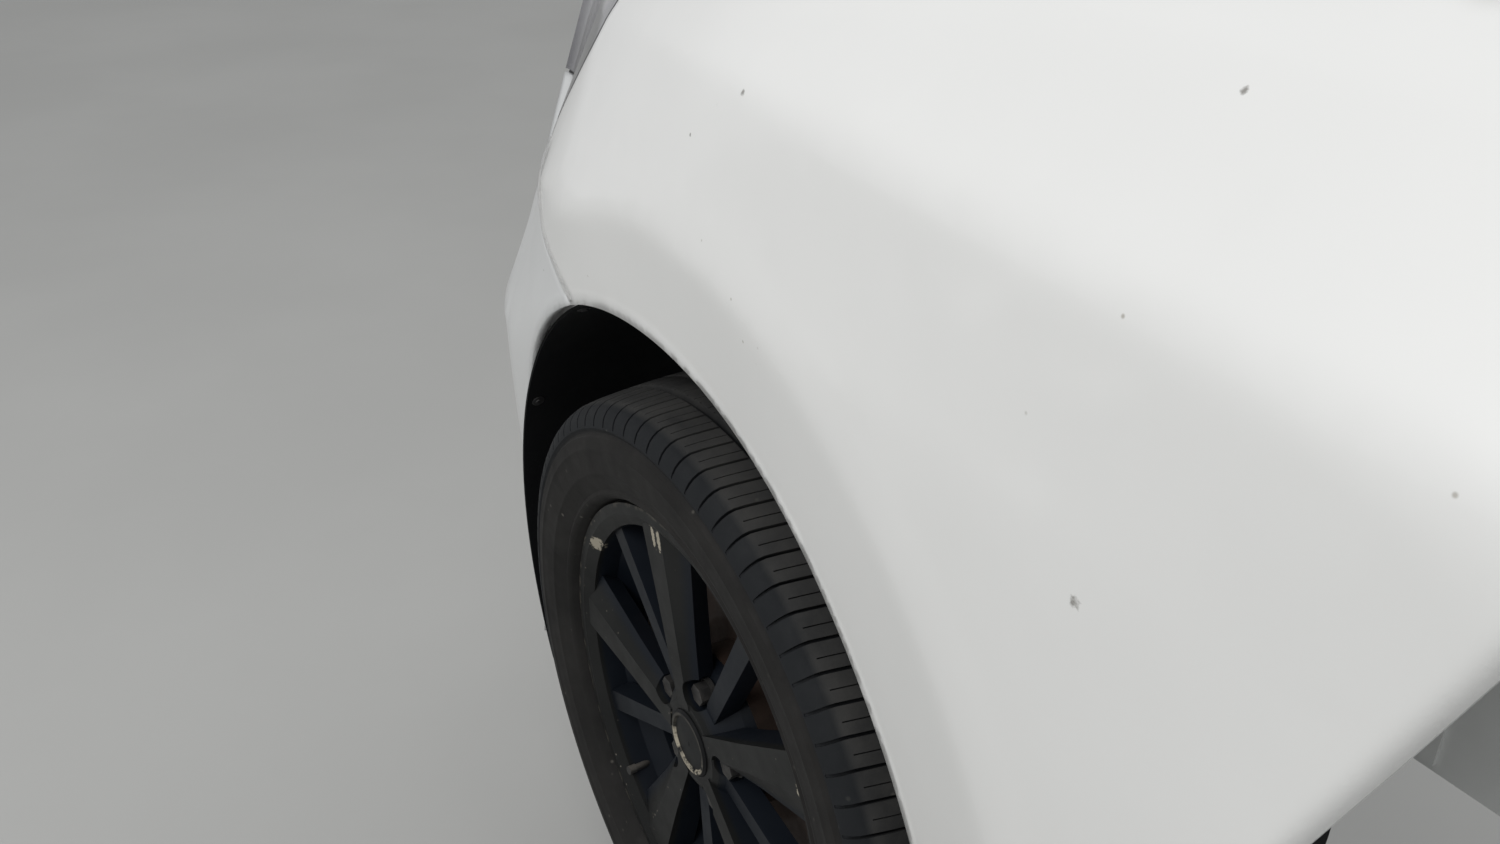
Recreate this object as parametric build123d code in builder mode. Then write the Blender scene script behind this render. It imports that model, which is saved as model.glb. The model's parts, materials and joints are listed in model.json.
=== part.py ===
from build123d import *
from math import acos, cos, radians, sin, tan
import os

# Front left corner of a hatchback car: wing, bumper corner, headlamp and arch liner,
# the inner wing and chassis leg that carry them, and the strut, arm, knuckle, brake
# and wheel. Millimetres. +X points to the back of the car, +Y to its centre line, +Z up.
# The origin is the middle of the chassis leg's rear flange, where the corner is held.
# Places in the text and tables below count from the middle of the wheel.

# Where the wheel's middle stands, from the middle of the leg's rear flange
WHEEL_AHEAD = 600
WHEEL_OUT = 325
WHEEL_BELOW = 185
CENTRE = Vector(-WHEEL_AHEAD, -WHEEL_OUT, -WHEEL_BELOW)

# Clearances
FIT_GAP = 0.3
PAD_GAP = 0.6
PANEL_GAP = 4

# Tyre and rim
TYRE_RADIUS = 316
TYRE_HALF_WIDTH = 107
TREAD_HALF_WIDTH = 88
SHOULDER_DROP = 6
TREAD_DEPTH = 7
TREAD_GROOVE = 8
GROOVE_OFFSETS = (-50, -18, 18, 50)
RIM_HALF_WIDTH = 89.5
FLANGE_RADIUS = 220.5
FLANGE_THICKNESS = 7
BEAD_RADIUS = 203
BEAD_WIDTH = 18
WELL_RADIUS = 184
RIM_WALL = 6
RING_WIDTH = 10
RING_FOOT = 83

# Wheel face: wide blades and narrow bars take turns around the hub
SPOKE_PAIRS = 5
BLADE_ANGLE = 104.5
BAR_ANGLE = 62
FACE_AT_RIM = -86.5
FACE_AT_HUB = -83
SPOKE_BACK = -57
SPOKE_REACH = 200
SPOKE_START = 35  # radius where the blades leave the middle
BAR_RECESS = 8
BEVEL_DEPTH = 10
HUB_FACE = -48
HUB_DISC_RADIUS = 72
HUB_BORE = 28.5
BOLT_COUNT = 5
BOLT_CIRCLE_RADIUS = 56
BOLT_ANGLE = 84
BOLT_RADIUS = 7
BOLT_HEAD = 11.5
BOLT_POCKET = 14
BOLT_SEAT = -64
CAP_RADIUS = 31
CAP_SEAT = -70

# Hub and brake
HAT_RADIUS = 74
HAT_WALL = 7
DISC_RADIUS = 140
DISC_FRONT = -20.5
DISC_THICKNESS = 22
VENT_COUNT = 30
VENT_WIDTH = 8
HUB_FLANGE = 12
HUB_FLANGE_RADIUS = 68
HUB_SHAFT = 25
HOUSING_RADIUS = 48
HOUSING_FRONT = -18
HOUSING_BACK = 44
SHIELD_FRONT = 8
SHEET = 3
SHIELD_SHEET = 2
CALIPER_ANGLE = 166
CALIPER_SPAN = 46
CALIPER_INNER = 92
CALIPER_OUTER = 163
CALIPER_FRONT = -46
CALIPER_BACK = 50
BRACKET_SPAN = 6
PAD_THICKNESS = 10

# Steering axis: from the strut's top mount through the driveshaft's joint to the ball joint
TOP = Vector(40, 204, 545)
JOINT_CENTRE = Vector(0, 70, 0)
BALL_DROP = 115
STRUT_FOOT = Vector(7, 119.5, 58)
STRUT_RADIUS = 25
CLAMP_WALL = 10
CLAMP_LENGTH = 66
TUBE_LENGTH = 330
ROD_RADIUS = 10
SPRING_RADIUS = 60
SPRING_WIRE = 6
SPRING_TURNS = 5
SPRING_END_GAP = 0.5
SPRING_LOW = 282
SPRING_HIGH = 440
SEAT_THICKNESS = 4
MOUNT_RADIUS = 58
MOUNT_LOW = 476
ROD_TIP = 524
ROD_SWAY = 2.5
STUD_RADIUS = 8
BALL_HOUSING = 19

# Driveshaft, lower arm and track rod
JOINT_RADIUS = 42
CUP_GAP = 0.3
CUP_WALL = 3
CUP_EDGE = 22
BOOT_END = 190
SHAFT_RADIUS = 13
SHAFT_END = 380
ARM_FRONT = Vector(0, 300, -128)
ARM_REAR = Vector(230, 335, -128)
ARM_THICKNESS = 16
BUSH_RADIUS = 24
BUSH_PIN = 8
STEER_EYE = Vector(120, 45, -66)
EYE_RADIUS = 15
EYE_THICKNESS = 16
ROD_END_RADIUS = 14
ROD_STUD = 6
TRACK_ROD_RADIUS = 8
TRACK_ROD_END = 385
ROD_THREAD_RADIUS = 7
ROD_THREAD_LENGTH = 90

# Body structure
LEG_WIDTH = 70
LEG_HEIGHT = 110
LEG_WALL = 4
LEG_FRONT = -540
FLANGE_PLATE = 8
FLANGE_MARGIN = 22
LEG_BOLT = 5.5
TOWER_RADIUS = 96
TOWER_LOW = 350
TOWER_TOP = 508
TOWER_SHEET = 4
TOWER_HOLE = 30
DECK_Z = 540
INNER_WING_FRONT = -320
DECK_FRONT = -260
STAY_WIDTH = 48
INNER_WING_REAR = 420
RAIL_WIDTH = 50
RAIL_HEIGHT = 56
RAIL_TOP = 596
RAIL_LINE = ((-330, 108), (-100, 14), (100, -14), (590, -14))
SUBFRAME_WIDTH = 60
SUBFRAME_HEIGHT = 50
SUBFRAME_ENDS = (-70, 300)
ARM_POCKET = 76
BUSH_WIDTH = 40
BUSH_BORE = 17
CARRIER_X = -470
CARRIER_WIDTH = 40
CARRIER_TOP = 545
POST = 44

# Outer panels: lip and flare of the arch, the panels' edges
ARCH_X = -4
ARCH_Z = 25
ARCH_RADIUS = 370
FOLD_RUN_IN = 60
FOLD_STEP = 12
PANEL = 3
LIP_FLANGE = 16
LINER_GAP = 0.4
LINER_REACH = 290
SKIN_FRONT = -560
SKIN_REAR = 712
SILL_Z = -135
INBOARD = 300
ABOVE_ALL = 760
BUMPER_LOW = -150
LAMP_LOW = 456
LAMP_HIGH = 574
LAMP_DEPTH = 70
LAMP_BOWLS = ((-330, 18, 520, 25), (-440, 70, 512, 28))
BOWL_DEPTH = 44
LINER_START = -18
LINER_END = 205
LINER_EDGE = -84
STRUT_SLOT = 92
STAY_PLACES = (-60, 200, 460)


def at(x, y, z):
    """A point given from the wheel's middle."""
    return CENTRE + Vector(x, y, z)


wheel_axis = Axis(at(0, 0, 0), (0, -1, 0))
wheel_section = Plane(origin=at(0, 0, 0), x_dir=(0, 1, 0), z_dir=(1, 0, 0))
strut_direction = (TOP - STRUT_FOOT).normalized()
steer_direction = (TOP - JOINT_CENTRE).normalized()
BALL = JOINT_CENTRE - steer_direction * (BALL_DROP / steer_direction.Z)
leg_y = WHEEL_OUT
leg_z = WHEEL_BELOW
leg_outer = leg_y - LEG_WIDTH / 2
leg_low = leg_z - LEG_HEIGHT / 2
leg_high = leg_z + LEG_HEIGHT / 2


def face_plane(y):
    """The plane across the wheel's axis at y, seen from outside: local x back, local y up."""
    return Plane(origin=at(0, y, 0), x_dir=(1, 0, 0), z_dir=(0, -1, 0))


def cross_plane(x):
    """An upright plane across the car at x: local x inboard, local y up."""
    return Plane(origin=at(x, 0, 0), x_dir=(0, 1, 0), z_dir=(1, 0, 0))


def level_plane(z):
    """A level plane at z: local x back, local y inboard."""
    return Plane(origin=at(0, 0, z), x_dir=(1, 0, 0), z_dir=(0, 0, 1))


def strut_plane(distance):
    """The plane across the strut at a distance from its foot."""
    spot = CENTRE + STRUT_FOOT + strut_direction * distance
    return Plane(origin=spot, x_dir=(1, 0, 0), z_dir=strut_direction)


def polar(radius, angle):
    """A point on the wheel's face, the angle counted from the back, upwards."""
    return (radius * cos(radians(angle)), radius * sin(radians(angle)))


def inset(points, gap):
    """Moves an open outline to its right by a gap, its corners kept."""
    moved = []
    for number, point in enumerate(points):
        sides = []
        for first, second in ((number - 1, number), (number, number + 1)):
            if first >= 0 and second < len(points):
                way = Vector(*points[second]) - Vector(*points[first])
                sides.append(Vector(way.Y, -way.X).normalized())
        middle = (sides[0] + sides[-1]).normalized()
        moved.append(Vector(*point) + middle * (gap / middle.dot(sides[0])))
    return [(spot.X, spot.Y) for spot in moved]


def soft_line(points, radii):
    """Draws an open outline with its inner corners rounded, and gives its end."""
    spots = [Vector(*point) for point in points]
    start = spots[0]
    for before, corner, after, radius in zip(spots, spots[1:], spots[2:], radii):
        if radius <= 0:
            Line(start, corner)
            start = corner
            continue
        back = (before - corner).normalized()
        ahead = (after - corner).normalized()
        half = acos(back.dot(ahead)) / 2
        reach = radius / tan(half)
        middle = (back + ahead).normalized() * (radius / sin(half) - radius)
        Line(start, corner + back * reach)
        ThreePointArc(corner + back * reach, corner + middle, corner + ahead * reach)
        start = corner + ahead * reach
    Line(start, spots[-1])
    return (spots[-1].X, spots[-1].Y)


# The outside of the wing, bumper and lamp, as cuts across the car. Each row has x,
# then y and z at the foot, waist, flare, crease, top edge and bonnet gap.
SKIN_ROWS = (
    (-570, (46, -160), (11, 250), (68, 430), (113, 543), (155, 590), (210, 605)),
    (-355, (-80, -160), (-87, 250), (-28, 440), (34, 563), (73, 615), (127, 634)),
    (-140, (-101, -160), (-116, 250), (-109, 452), (-46, 585), (-6, 645), (36, 667)),
    (75, (-108, -160), (-124, 250), (-122, 468), (-89, 597), (-46, 659), (3, 686)),
    (290, (-111, -160), (-127, 250), (-127, 478), (-113, 597), (-54, 672), (-3, 699)),
    (505, (-113, -160), (-129, 250), (-131, 480), (-130, 592), (-56, 681), (-5, 711)),
    (720, (-115, -160), (-131, 250), (-134, 480), (-141, 585), (-57, 690), (-6, 723)),
)

# How softly the skin turns at the waist, flare, crease and top edge
SKIN_ROUNDING = (0, 0, 55, 110)

# The fold from the flare in to the lip: the angle around the arch, then the flare's radius,
# y at the lip and y at the flare
FLARE_ROWS = (
    (-32, 490, -102, -111), (-2, 490, -102, -118), (28, 491, -103, -126), (58, 490, -103, -124),
    (88, 462, -103, -113), (118, 432, -100, -93), (148, 428, -82, -81), (178, 430, -60, -50),
    (214, 430, -64, -75),
)

# The panels' edges, seen from the side
SEAM = ((-148, 290), (-150, 368), (-208, 404), (-302, 474))
LAMP_REAR = (-200, 592)
WING_REAR = (
    (720, 760), (704, 720), (634, 597), (603, 517), (564, 416), (540, 300), (528, 100), (525, SILL_Z),
)


def skin_volume(gap):
    """All that lies more than a gap inside the outer skin."""
    with BuildPart() as volume:
        for row in SKIN_ROWS:
            edge = inset(row[1:], gap)
            with BuildSketch(cross_plane(row[0])):
                with BuildLine():
                    last = soft_line(edge, [radius - gap for radius in SKIN_ROUNDING])
                    Polyline(last, (INBOARD, last[1]), (INBOARD, edge[0][1]), edge[0])
                make_face()
        loft()
        with BuildPart(mode=Mode.PRIVATE) as cutter:
            for angle, radius, lip, flare in FLARE_ROWS:
                away = Vector(cos(radians(angle)), 0, sin(radians(angle)))
                across = Plane(origin=at(ARCH_X, 0, ARCH_Z), x_dir=away, z_dir=away.cross(Vector(0, 1, 0)))
                slope = (flare - lip) / (radius - ARCH_RADIUS)
                inner = ARCH_RADIUS - FOLD_RUN_IN
                outer = radius + FOLD_STEP + gap
                with BuildSketch(across):
                    Polygon(
                        (inner, -INBOARD), (inner, lip - FOLD_RUN_IN * slope + gap), (radius, flare + gap),
                        (outer, flare + gap - FOLD_RUN_IN), (outer, -INBOARD), align=None,
                    )
            loft()
        add(cutter.part, mode=Mode.SUBTRACT)
    return volume.part


def side_prism(points):
    """An outline seen from the side, right through the corner."""
    with BuildPart() as prism:
        with BuildSketch(Plane(origin=at(0, 0, 0), x_dir=(1, 0, 0), z_dir=(0, -1, 0))):
            Polygon(*points, align=None)
        extrude(amount=400, both=True)
    return prism.part


def arch_hole(radius):
    with BuildPart() as hole:
        with BuildSketch(face_plane(0)):
            with Locations((ARCH_X, ARCH_Z)):
                Circle(radius)
        extrude(amount=400, both=True)
    return hole.part


def save(piece, name):
    """Label a finished piece and write it."""
    piece.part.label = name
    export_step(piece.part, f"parts/{name}.step")


def bar(start, end, start_size, end_size, up=(0, 0, 1)):
    """A straight tapered bar between two points, its sizes given across and along up."""
    way = (end - start).normalized()
    side = Vector(*up).cross(way).normalized()
    with BuildPart() as piece:
        for point, size in ((start, start_size), (end, end_size)):
            with BuildSketch(Plane(origin=CENTRE + point, x_dir=side, z_dir=way)):
                RectangleRounded(size[0], size[1], min(size) * 0.3)
        loft()
    return piece.part


def drum(start, end, radius, end_radius=None):
    """A round bar or cone between two points."""
    length = (end - start).length
    place = Plane(origin=CENTRE + start, z_dir=(end - start).normalized())
    with BuildPart(place) as piece:
        if end_radius is None:
            Cylinder(radius, length, align=(Align.CENTER, Align.CENTER, Align.MIN))
        else:
            Cone(radius, end_radius, length, align=(Align.CENTER, Align.CENTER, Align.MIN))
    return piece.part


def make_tyre():
    crown = TYRE_RADIUS
    heel = RIM_HALF_WIDTH - FLANGE_THICKNESS - FIT_GAP
    bead = BEAD_RADIUS + FIT_GAP
    over = FLANGE_RADIUS + FIT_GAP
    shoulder = crown - SHOULDER_DROP
    with BuildPart() as tyre:
        with BuildSketch(wheel_section):
            with BuildLine():
                Polyline((-heel + BEAD_WIDTH, bead), (-heel, bead), (-heel, over + 1), (-heel - 8, over + 5))
                ThreePointArc((-heel - 8, over + 5), (-TYRE_HALF_WIDTH, 263), (-102, 291))
                ThreePointArc((-102, 291), (-98, 302), (-TREAD_HALF_WIDTH, shoulder))
                ThreePointArc((-TREAD_HALF_WIDTH, shoulder), (0, crown), (TREAD_HALF_WIDTH, shoulder))
                ThreePointArc((TREAD_HALF_WIDTH, shoulder), (98, 302), (102, 291))
                ThreePointArc((102, 291), (TYRE_HALF_WIDTH, 263), (heel + 8, over + 5))
                Polyline((heel + 8, over + 5), (heel, over + 1), (heel, bead), (heel - BEAD_WIDTH, bead))
                Line((heel - BEAD_WIDTH, bead), (heel - 10, over + 9))
                ThreePointArc((heel - 10, over + 9), (93, 262), (84, 294))
                ThreePointArc((84, 294), (0, 301), (-84, 294))
                ThreePointArc((-84, 294), (-93, 262), (-heel + 10, over + 9))
                Line((-heel + 10, over + 9), (-heel + BEAD_WIDTH, bead))
            make_face()
        revolve(axis=wheel_axis)
        with BuildSketch(wheel_section):
            for offset in GROOVE_OFFSETS:
                with Locations((offset, crown)):
                    Rectangle(TREAD_GROOVE, 2 * TREAD_DEPTH)
        revolve(axis=wheel_axis, mode=Mode.SUBTRACT)
    return tyre


def spoke_room():
    """How far the spokes go out: into the barrel's wall, and in front into the rim's lip."""
    lip = FLANGE_RADIUS - RING_WIDTH + 1.5
    with BuildPart() as room:
        with BuildSketch(wheel_section):
            Polygon(
                (0, 0), (0, SPOKE_REACH), (-RING_FOOT, SPOKE_REACH + 0.5), (-RIM_HALF_WIDTH, lip),
                (-100, lip), (-100, 0), align=None,
            )
        revolve(axis=wheel_axis)
    return room.part


def make_blade():
    """One wide blade, upright: a flat face with a long bevel on its rear side."""
    sections = (
        # radius, face half width, bevel width, face y, back half width
        (SPOKE_START, 10, 6, FACE_AT_HUB - 1, 9),
        (112, 12, 18, FACE_AT_HUB - 2, 13),
        (212, 17.5, 36, FACE_AT_RIM, 21),
    )
    with BuildPart() as blade:
        for radius, half, bevel, face, rear in sections:
            with BuildSketch(level_plane(radius)):
                Polygon(
                    (-half, face), (half, face), (half + bevel, face + BEVEL_DEPTH),
                    (rear + bevel / 2, SPOKE_BACK), (-rear, SPOKE_BACK), align=None,
                )
        loft(ruled=True)
        add(spoke_room(), mode=Mode.INTERSECT)
    return blade.part


def make_bar():
    """One narrow bar, upright, set back a little from the blades."""
    sections = ((SPOKE_START, 8, FACE_AT_HUB), (212, 10.5, FACE_AT_RIM))
    with BuildPart() as narrow:
        for radius, half, face in sections:
            with BuildSketch(level_plane(radius)):
                Polygon(
                    (-half, face + BAR_RECESS), (half, face + BAR_RECESS),
                    (half + 2, SPOKE_BACK), (-half - 2, SPOKE_BACK), align=None,
                )
        loft()
        add(spoke_room(), mode=Mode.INTERSECT)
    return narrow.part


def bolt_spots():
    return [polar(BOLT_CIRCLE_RADIUS, BOLT_ANGLE + 360 / BOLT_COUNT * turn) for turn in range(BOLT_COUNT)]


def make_rim():
    half = RIM_HALF_WIDTH
    lip = half - FLANGE_THICKNESS
    inside = BEAD_RADIUS - RIM_WALL
    with BuildPart() as rim:
        with BuildSketch(wheel_section):
            Polygon(
                (-half, FLANGE_RADIUS), (-lip, FLANGE_RADIUS), (-lip, BEAD_RADIUS), (-56, BEAD_RADIUS),
                (-42, WELL_RADIUS), (-8, WELL_RADIUS), (8, BEAD_RADIUS), (lip, BEAD_RADIUS),
                (lip, FLANGE_RADIUS), (half, FLANGE_RADIUS), (half, BEAD_RADIUS + 2), (lip - 4, inside),
                (10, inside), (-6, WELL_RADIUS - RIM_WALL), (-44, WELL_RADIUS - RIM_WALL),
                (-60, inside), (-RING_FOOT, inside + 2), (-half, FLANGE_RADIUS - RING_WIDTH), align=None,
            )
        revolve(axis=wheel_axis)
        with BuildSketch(wheel_section):
            Polygon(
                (HUB_FACE, 0), (HUB_FACE, HUB_DISC_RADIUS), (SPOKE_BACK, HUB_DISC_RADIUS - 3),
                (FACE_AT_HUB + 3, 46), (FACE_AT_HUB, 40), (FACE_AT_HUB, 0), align=None,
            )
        revolve(axis=wheel_axis)
        blade = make_blade()
        narrow = make_bar()
        for pair in range(SPOKE_PAIRS):
            turn = 360 / SPOKE_PAIRS * pair
            add(blade.rotate(wheel_axis, BLADE_ANGLE - 90 + turn))
            add(narrow.rotate(wheel_axis, BAR_ANGLE - 90 + turn))
        with BuildSketch(face_plane(HUB_FACE)):
            Circle(HUB_BORE)
        extrude(amount=60, mode=Mode.SUBTRACT)
        with BuildSketch(face_plane(CAP_SEAT)):
            Circle(CAP_RADIUS + FIT_GAP)
        extrude(amount=30, mode=Mode.SUBTRACT)
        with BuildSketch(face_plane(HUB_FACE)):
            with Locations(*bolt_spots()):
                Circle(BOLT_RADIUS + FIT_GAP)
        extrude(amount=60, mode=Mode.SUBTRACT)
        with BuildSketch(face_plane(BOLT_SEAT)):
            with Locations(*bolt_spots()):
                Circle(BOLT_POCKET)
        extrude(amount=40, mode=Mode.SUBTRACT)
    return rim


def make_cap():
    edge = FACE_AT_HUB - 3
    with BuildPart() as cap:
        with BuildSketch(wheel_section):
            Polygon(
                (edge, CAP_RADIUS - 5), (edge, CAP_RADIUS - 2), (edge + 2, CAP_RADIUS),
                (CAP_SEAT, CAP_RADIUS),
                (CAP_SEAT, CAP_RADIUS - 4), (edge + 6, CAP_RADIUS - 6), (edge + 4, 0), (edge + 1, 0),
                (edge + 2, CAP_RADIUS - 6), align=None,
            )
        revolve(axis=wheel_axis)
    return cap


def make_bolts():
    with BuildPart() as bolts:
        with BuildSketch(face_plane(HUB_FACE + HAT_WALL + HUB_FLANGE)):
            with Locations(*bolt_spots()):
                Circle(BOLT_RADIUS)
        extrude(amount=HUB_FACE + HAT_WALL + HUB_FLANGE - BOLT_SEAT)
        with BuildSketch(face_plane(BOLT_SEAT)):
            with Locations(*bolt_spots()):
                Circle(BOLT_HEAD)
        extrude(amount=4)
        with BuildSketch(face_plane(BOLT_SEAT - 4)):
            with Locations(*bolt_spots()):
                RegularPolygon(BOLT_HEAD - 1.5, 6)
        extrude(amount=10)
    return bolts


def make_disc():
    back = DISC_FRONT + DISC_THICKNESS
    middle = DISC_FRONT + DISC_THICKNESS / 2
    with BuildPart() as disc:
        with BuildSketch(wheel_section):
            Polygon(
                (HUB_FACE, HUB_BORE), (HUB_FACE, HAT_RADIUS), (DISC_FRONT, HAT_RADIUS),
                (DISC_FRONT, DISC_RADIUS),
                (back, DISC_RADIUS), (back, HAT_RADIUS + 4), (DISC_FRONT + 7, HAT_RADIUS + 4),
                (DISC_FRONT + 7, HAT_RADIUS - HAT_WALL), (HUB_FACE + HAT_WALL, HAT_RADIUS - HAT_WALL),
                (HUB_FACE + HAT_WALL, HUB_BORE), align=None,
            )
        revolve(axis=wheel_axis)
        with BuildSketch(face_plane(middle + VENT_WIDTH / 2)):
            with PolarLocations((DISC_RADIUS + HAT_RADIUS + 16) / 2, VENT_COUNT):
                Rectangle(DISC_RADIUS - HAT_RADIUS, 10)
        extrude(amount=VENT_WIDTH, mode=Mode.SUBTRACT)
        with BuildSketch(face_plane(HUB_FACE + HAT_WALL)):
            with Locations(*bolt_spots()):
                Circle(BOLT_RADIUS + FIT_GAP)
        extrude(amount=HAT_WALL, mode=Mode.SUBTRACT)
    return disc


def make_hub():
    flange = HUB_FACE + HAT_WALL
    joint = JOINT_CENTRE.Y
    with BuildPart() as hub:
        with BuildSketch(wheel_section):
            Polygon(
                (flange - 14, 0), (flange - 14, HUB_BORE - FIT_GAP), (flange, HUB_BORE - FIT_GAP),
                (flange, HUB_FLANGE_RADIUS - HAT_WALL), (flange + HUB_FLANGE, HUB_FLANGE_RADIUS - HAT_WALL),
                (flange + HUB_FLANGE, 38), (HOUSING_FRONT - 4, 36), (HOUSING_FRONT - 4, HUB_SHAFT),
                (HOUSING_BACK + 2.5, HUB_SHAFT), (HOUSING_BACK + 2.5, 0), align=None,
            )
        revolve(axis=wheel_axis)
        with BuildSketch(face_plane(flange + HUB_FLANGE)):
            with Locations(*bolt_spots()):
                Circle(BOLT_RADIUS)
        extrude(amount=HUB_FLANGE, mode=Mode.SUBTRACT)
    return hub


def make_joint_bell():
    """The round bell of the driveshaft's outer joint, which turns with the hub."""
    start = HOUSING_BACK + 2.5
    with BuildPart() as bell:
        with BuildSketch(wheel_section):
            with Locations((JOINT_CENTRE.Y, 0)):
                Circle(JOINT_RADIUS)
            with Locations((start, 0)):
                Rectangle(200, 200, align=(Align.MAX, Align.CENTER), mode=Mode.SUBTRACT)
            with Locations((0, 0)):
                Rectangle(400, 200, align=(Align.CENTER, Align.MAX), mode=Mode.SUBTRACT)
        revolve(axis=wheel_axis)
    return bell


def make_knuckle():
    lug_span = (CALIPER_SPAN + BRACKET_SPAN + 1) / 2
    lug_end = CALIPER_INNER + 8 - FIT_GAP
    step = SHIELD_FRONT + SHIELD_SHEET
    with BuildPart() as knuckle:
        with BuildSketch(wheel_section):
            Polygon(
                (HOUSING_FRONT, HUB_SHAFT + FIT_GAP), (HOUSING_FRONT, HOUSING_RADIUS - 4),
                (step, HOUSING_RADIUS - 4), (step, HOUSING_RADIUS), (HOUSING_BACK, HOUSING_RADIUS),
                (HOUSING_BACK, HUB_SHAFT + FIT_GAP), align=None,
            )
        revolve(axis=wheel_axis)
        foot = BALL + steer_direction * 26
        add(bar(Vector(0, 26, -38), foot, (46, 30), (34, 26), up=(0, 1, 0)))
        add(drum(BALL + steer_direction * 14, BALL + steer_direction * 36, 17))
        add(bar(Vector(0, 27, 36), Vector(3, 68, 92), (48, 32), (44, 28), up=(0, 1, 0)))
        add(bar(Vector(2, 60, 84), Vector(8, 112, 92), (44, 30), (44, 40)))
        add(drum(STRUT_FOOT, STRUT_FOOT + strut_direction * CLAMP_LENGTH, STRUT_RADIUS + CLAMP_WALL))
        elbow = Vector(STEER_EYE.X - 40, STEER_EYE.Y - 4, STEER_EYE.Z - 1)
        add(bar(Vector(30, 29, -28), elbow, (28, 24), (24, EYE_THICKNESS)))
        add(bar(elbow - Vector(6, 0, 0), STEER_EYE, (24, EYE_THICKNESS - 1), (22, EYE_THICKNESS - 3)))
        eye_low = STEER_EYE - steer_direction * (EYE_THICKNESS / 2)
        eye_high = STEER_EYE + steer_direction * (EYE_THICKNESS / 2)
        add(drum(eye_low, eye_high, EYE_RADIUS))
        for side in (-1, 1):
            spot = polar(lug_end, CALIPER_ANGLE + side * lug_span)
            start = polar(40, CALIPER_ANGLE + side * lug_span)
            ends = (Vector(start[0], 28, start[1]), Vector(spot[0], 28, spot[1]))
            add(bar(*ends, (11, 26), (11, 22), up=(0, 1, 0)))
        socket_ends = (STRUT_FOOT - strut_direction * 5, STRUT_FOOT + strut_direction * 100)
        add(drum(*socket_ends, STRUT_RADIUS + FIT_GAP), mode=Mode.SUBTRACT)
        bore_ends = (eye_low - steer_direction * 5, eye_high + steer_direction * 5)
        add(drum(*bore_ends, ROD_STUD + FIT_GAP), mode=Mode.SUBTRACT)
        add(drum(Vector(0, -60, 0), Vector(0, HOUSING_BACK, 0), HUB_SHAFT + FIT_GAP), mode=Mode.SUBTRACT)
        add(drum(Vector(0, HOUSING_BACK, 0), Vector(0, 140, 0), JOINT_RADIUS + 9), mode=Mode.SUBTRACT)
        add(drum(BALL - steer_direction * 16, BALL + steer_direction * 15, STUD_RADIUS))
    return knuckle


def make_strut():
    with BuildPart() as strut:
        with BuildSketch(strut_plane(2)):
            Circle(STRUT_RADIUS)
        extrude(amount=TUBE_LENGTH)
        with BuildSketch(strut_plane(2 + TUBE_LENGTH)):
            Circle(ROD_RADIUS)
        extrude(amount=ROD_TIP - TUBE_LENGTH)
    return strut


def make_seat(distance, bore):
    """A spring seat: a round plate with a raised edge, around the strut."""
    with BuildPart() as seat:
        with BuildSketch(strut_plane(distance)):
            Circle(SPRING_RADIUS + SPRING_WIRE + 3)
            Circle(bore + FIT_GAP, mode=Mode.SUBTRACT)
        extrude(amount=SEAT_THICKNESS)
    return seat


def make_spring():
    low = strut_plane(SPRING_LOW + SPRING_WIRE + SPRING_END_GAP)
    length = SPRING_HIGH - SPRING_LOW - 2 * SPRING_WIRE - 2 * SPRING_END_GAP
    with BuildPart() as spring:
        with BuildLine(low):
            path = Helix(length / SPRING_TURNS, length, SPRING_RADIUS)
        with BuildSketch(Plane(origin=path @ 0, z_dir=path % 0)):
            Circle(SPRING_WIRE)
        sweep(path=path, is_frenet=True)
    return spring


def make_top_mount():
    with BuildPart() as mount:
        with BuildSketch(strut_plane(MOUNT_LOW)):
            Circle(MOUNT_RADIUS)
        extrude(amount=TOWER_TOP - MOUNT_LOW)
        with BuildSketch(strut_plane(TOWER_TOP)):
            Circle(TOWER_HOLE - FIT_GAP)
        extrude(amount=TOWER_SHEET + 4)
        with BuildSketch(strut_plane(MOUNT_LOW)):
            Circle(ROD_RADIUS + ROD_SWAY)
        extrude(amount=60, mode=Mode.SUBTRACT)
    return mount


def make_shield():
    with BuildPart() as shield:
        with BuildSketch(face_plane(SHIELD_FRONT + SHIELD_SHEET)):
            Circle(DISC_RADIUS + 4)
            Circle(HOUSING_RADIUS - 4 + FIT_GAP, mode=Mode.SUBTRACT)
            corner = CALIPER_SPAN / 2 + BRACKET_SPAN + 3
            Polygon(
                polar(60, CALIPER_ANGLE - corner), polar(240, CALIPER_ANGLE - corner),
                polar(240, CALIPER_ANGLE + corner), polar(60, CALIPER_ANGLE + corner),
                align=None, mode=Mode.SUBTRACT,
            )
        extrude(amount=SHIELD_SHEET)
    return shield


def arc_piece(points, start, span):
    """A profile in radius and y, turned around the wheel's axis from one angle over a span."""
    with BuildPart() as piece:
        with BuildSketch(wheel_section):
            Polygon(*points, align=None)
        revolve(axis=wheel_axis, revolution_arc=span)
    return piece.part.rotate(wheel_axis, start - 90)


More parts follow.
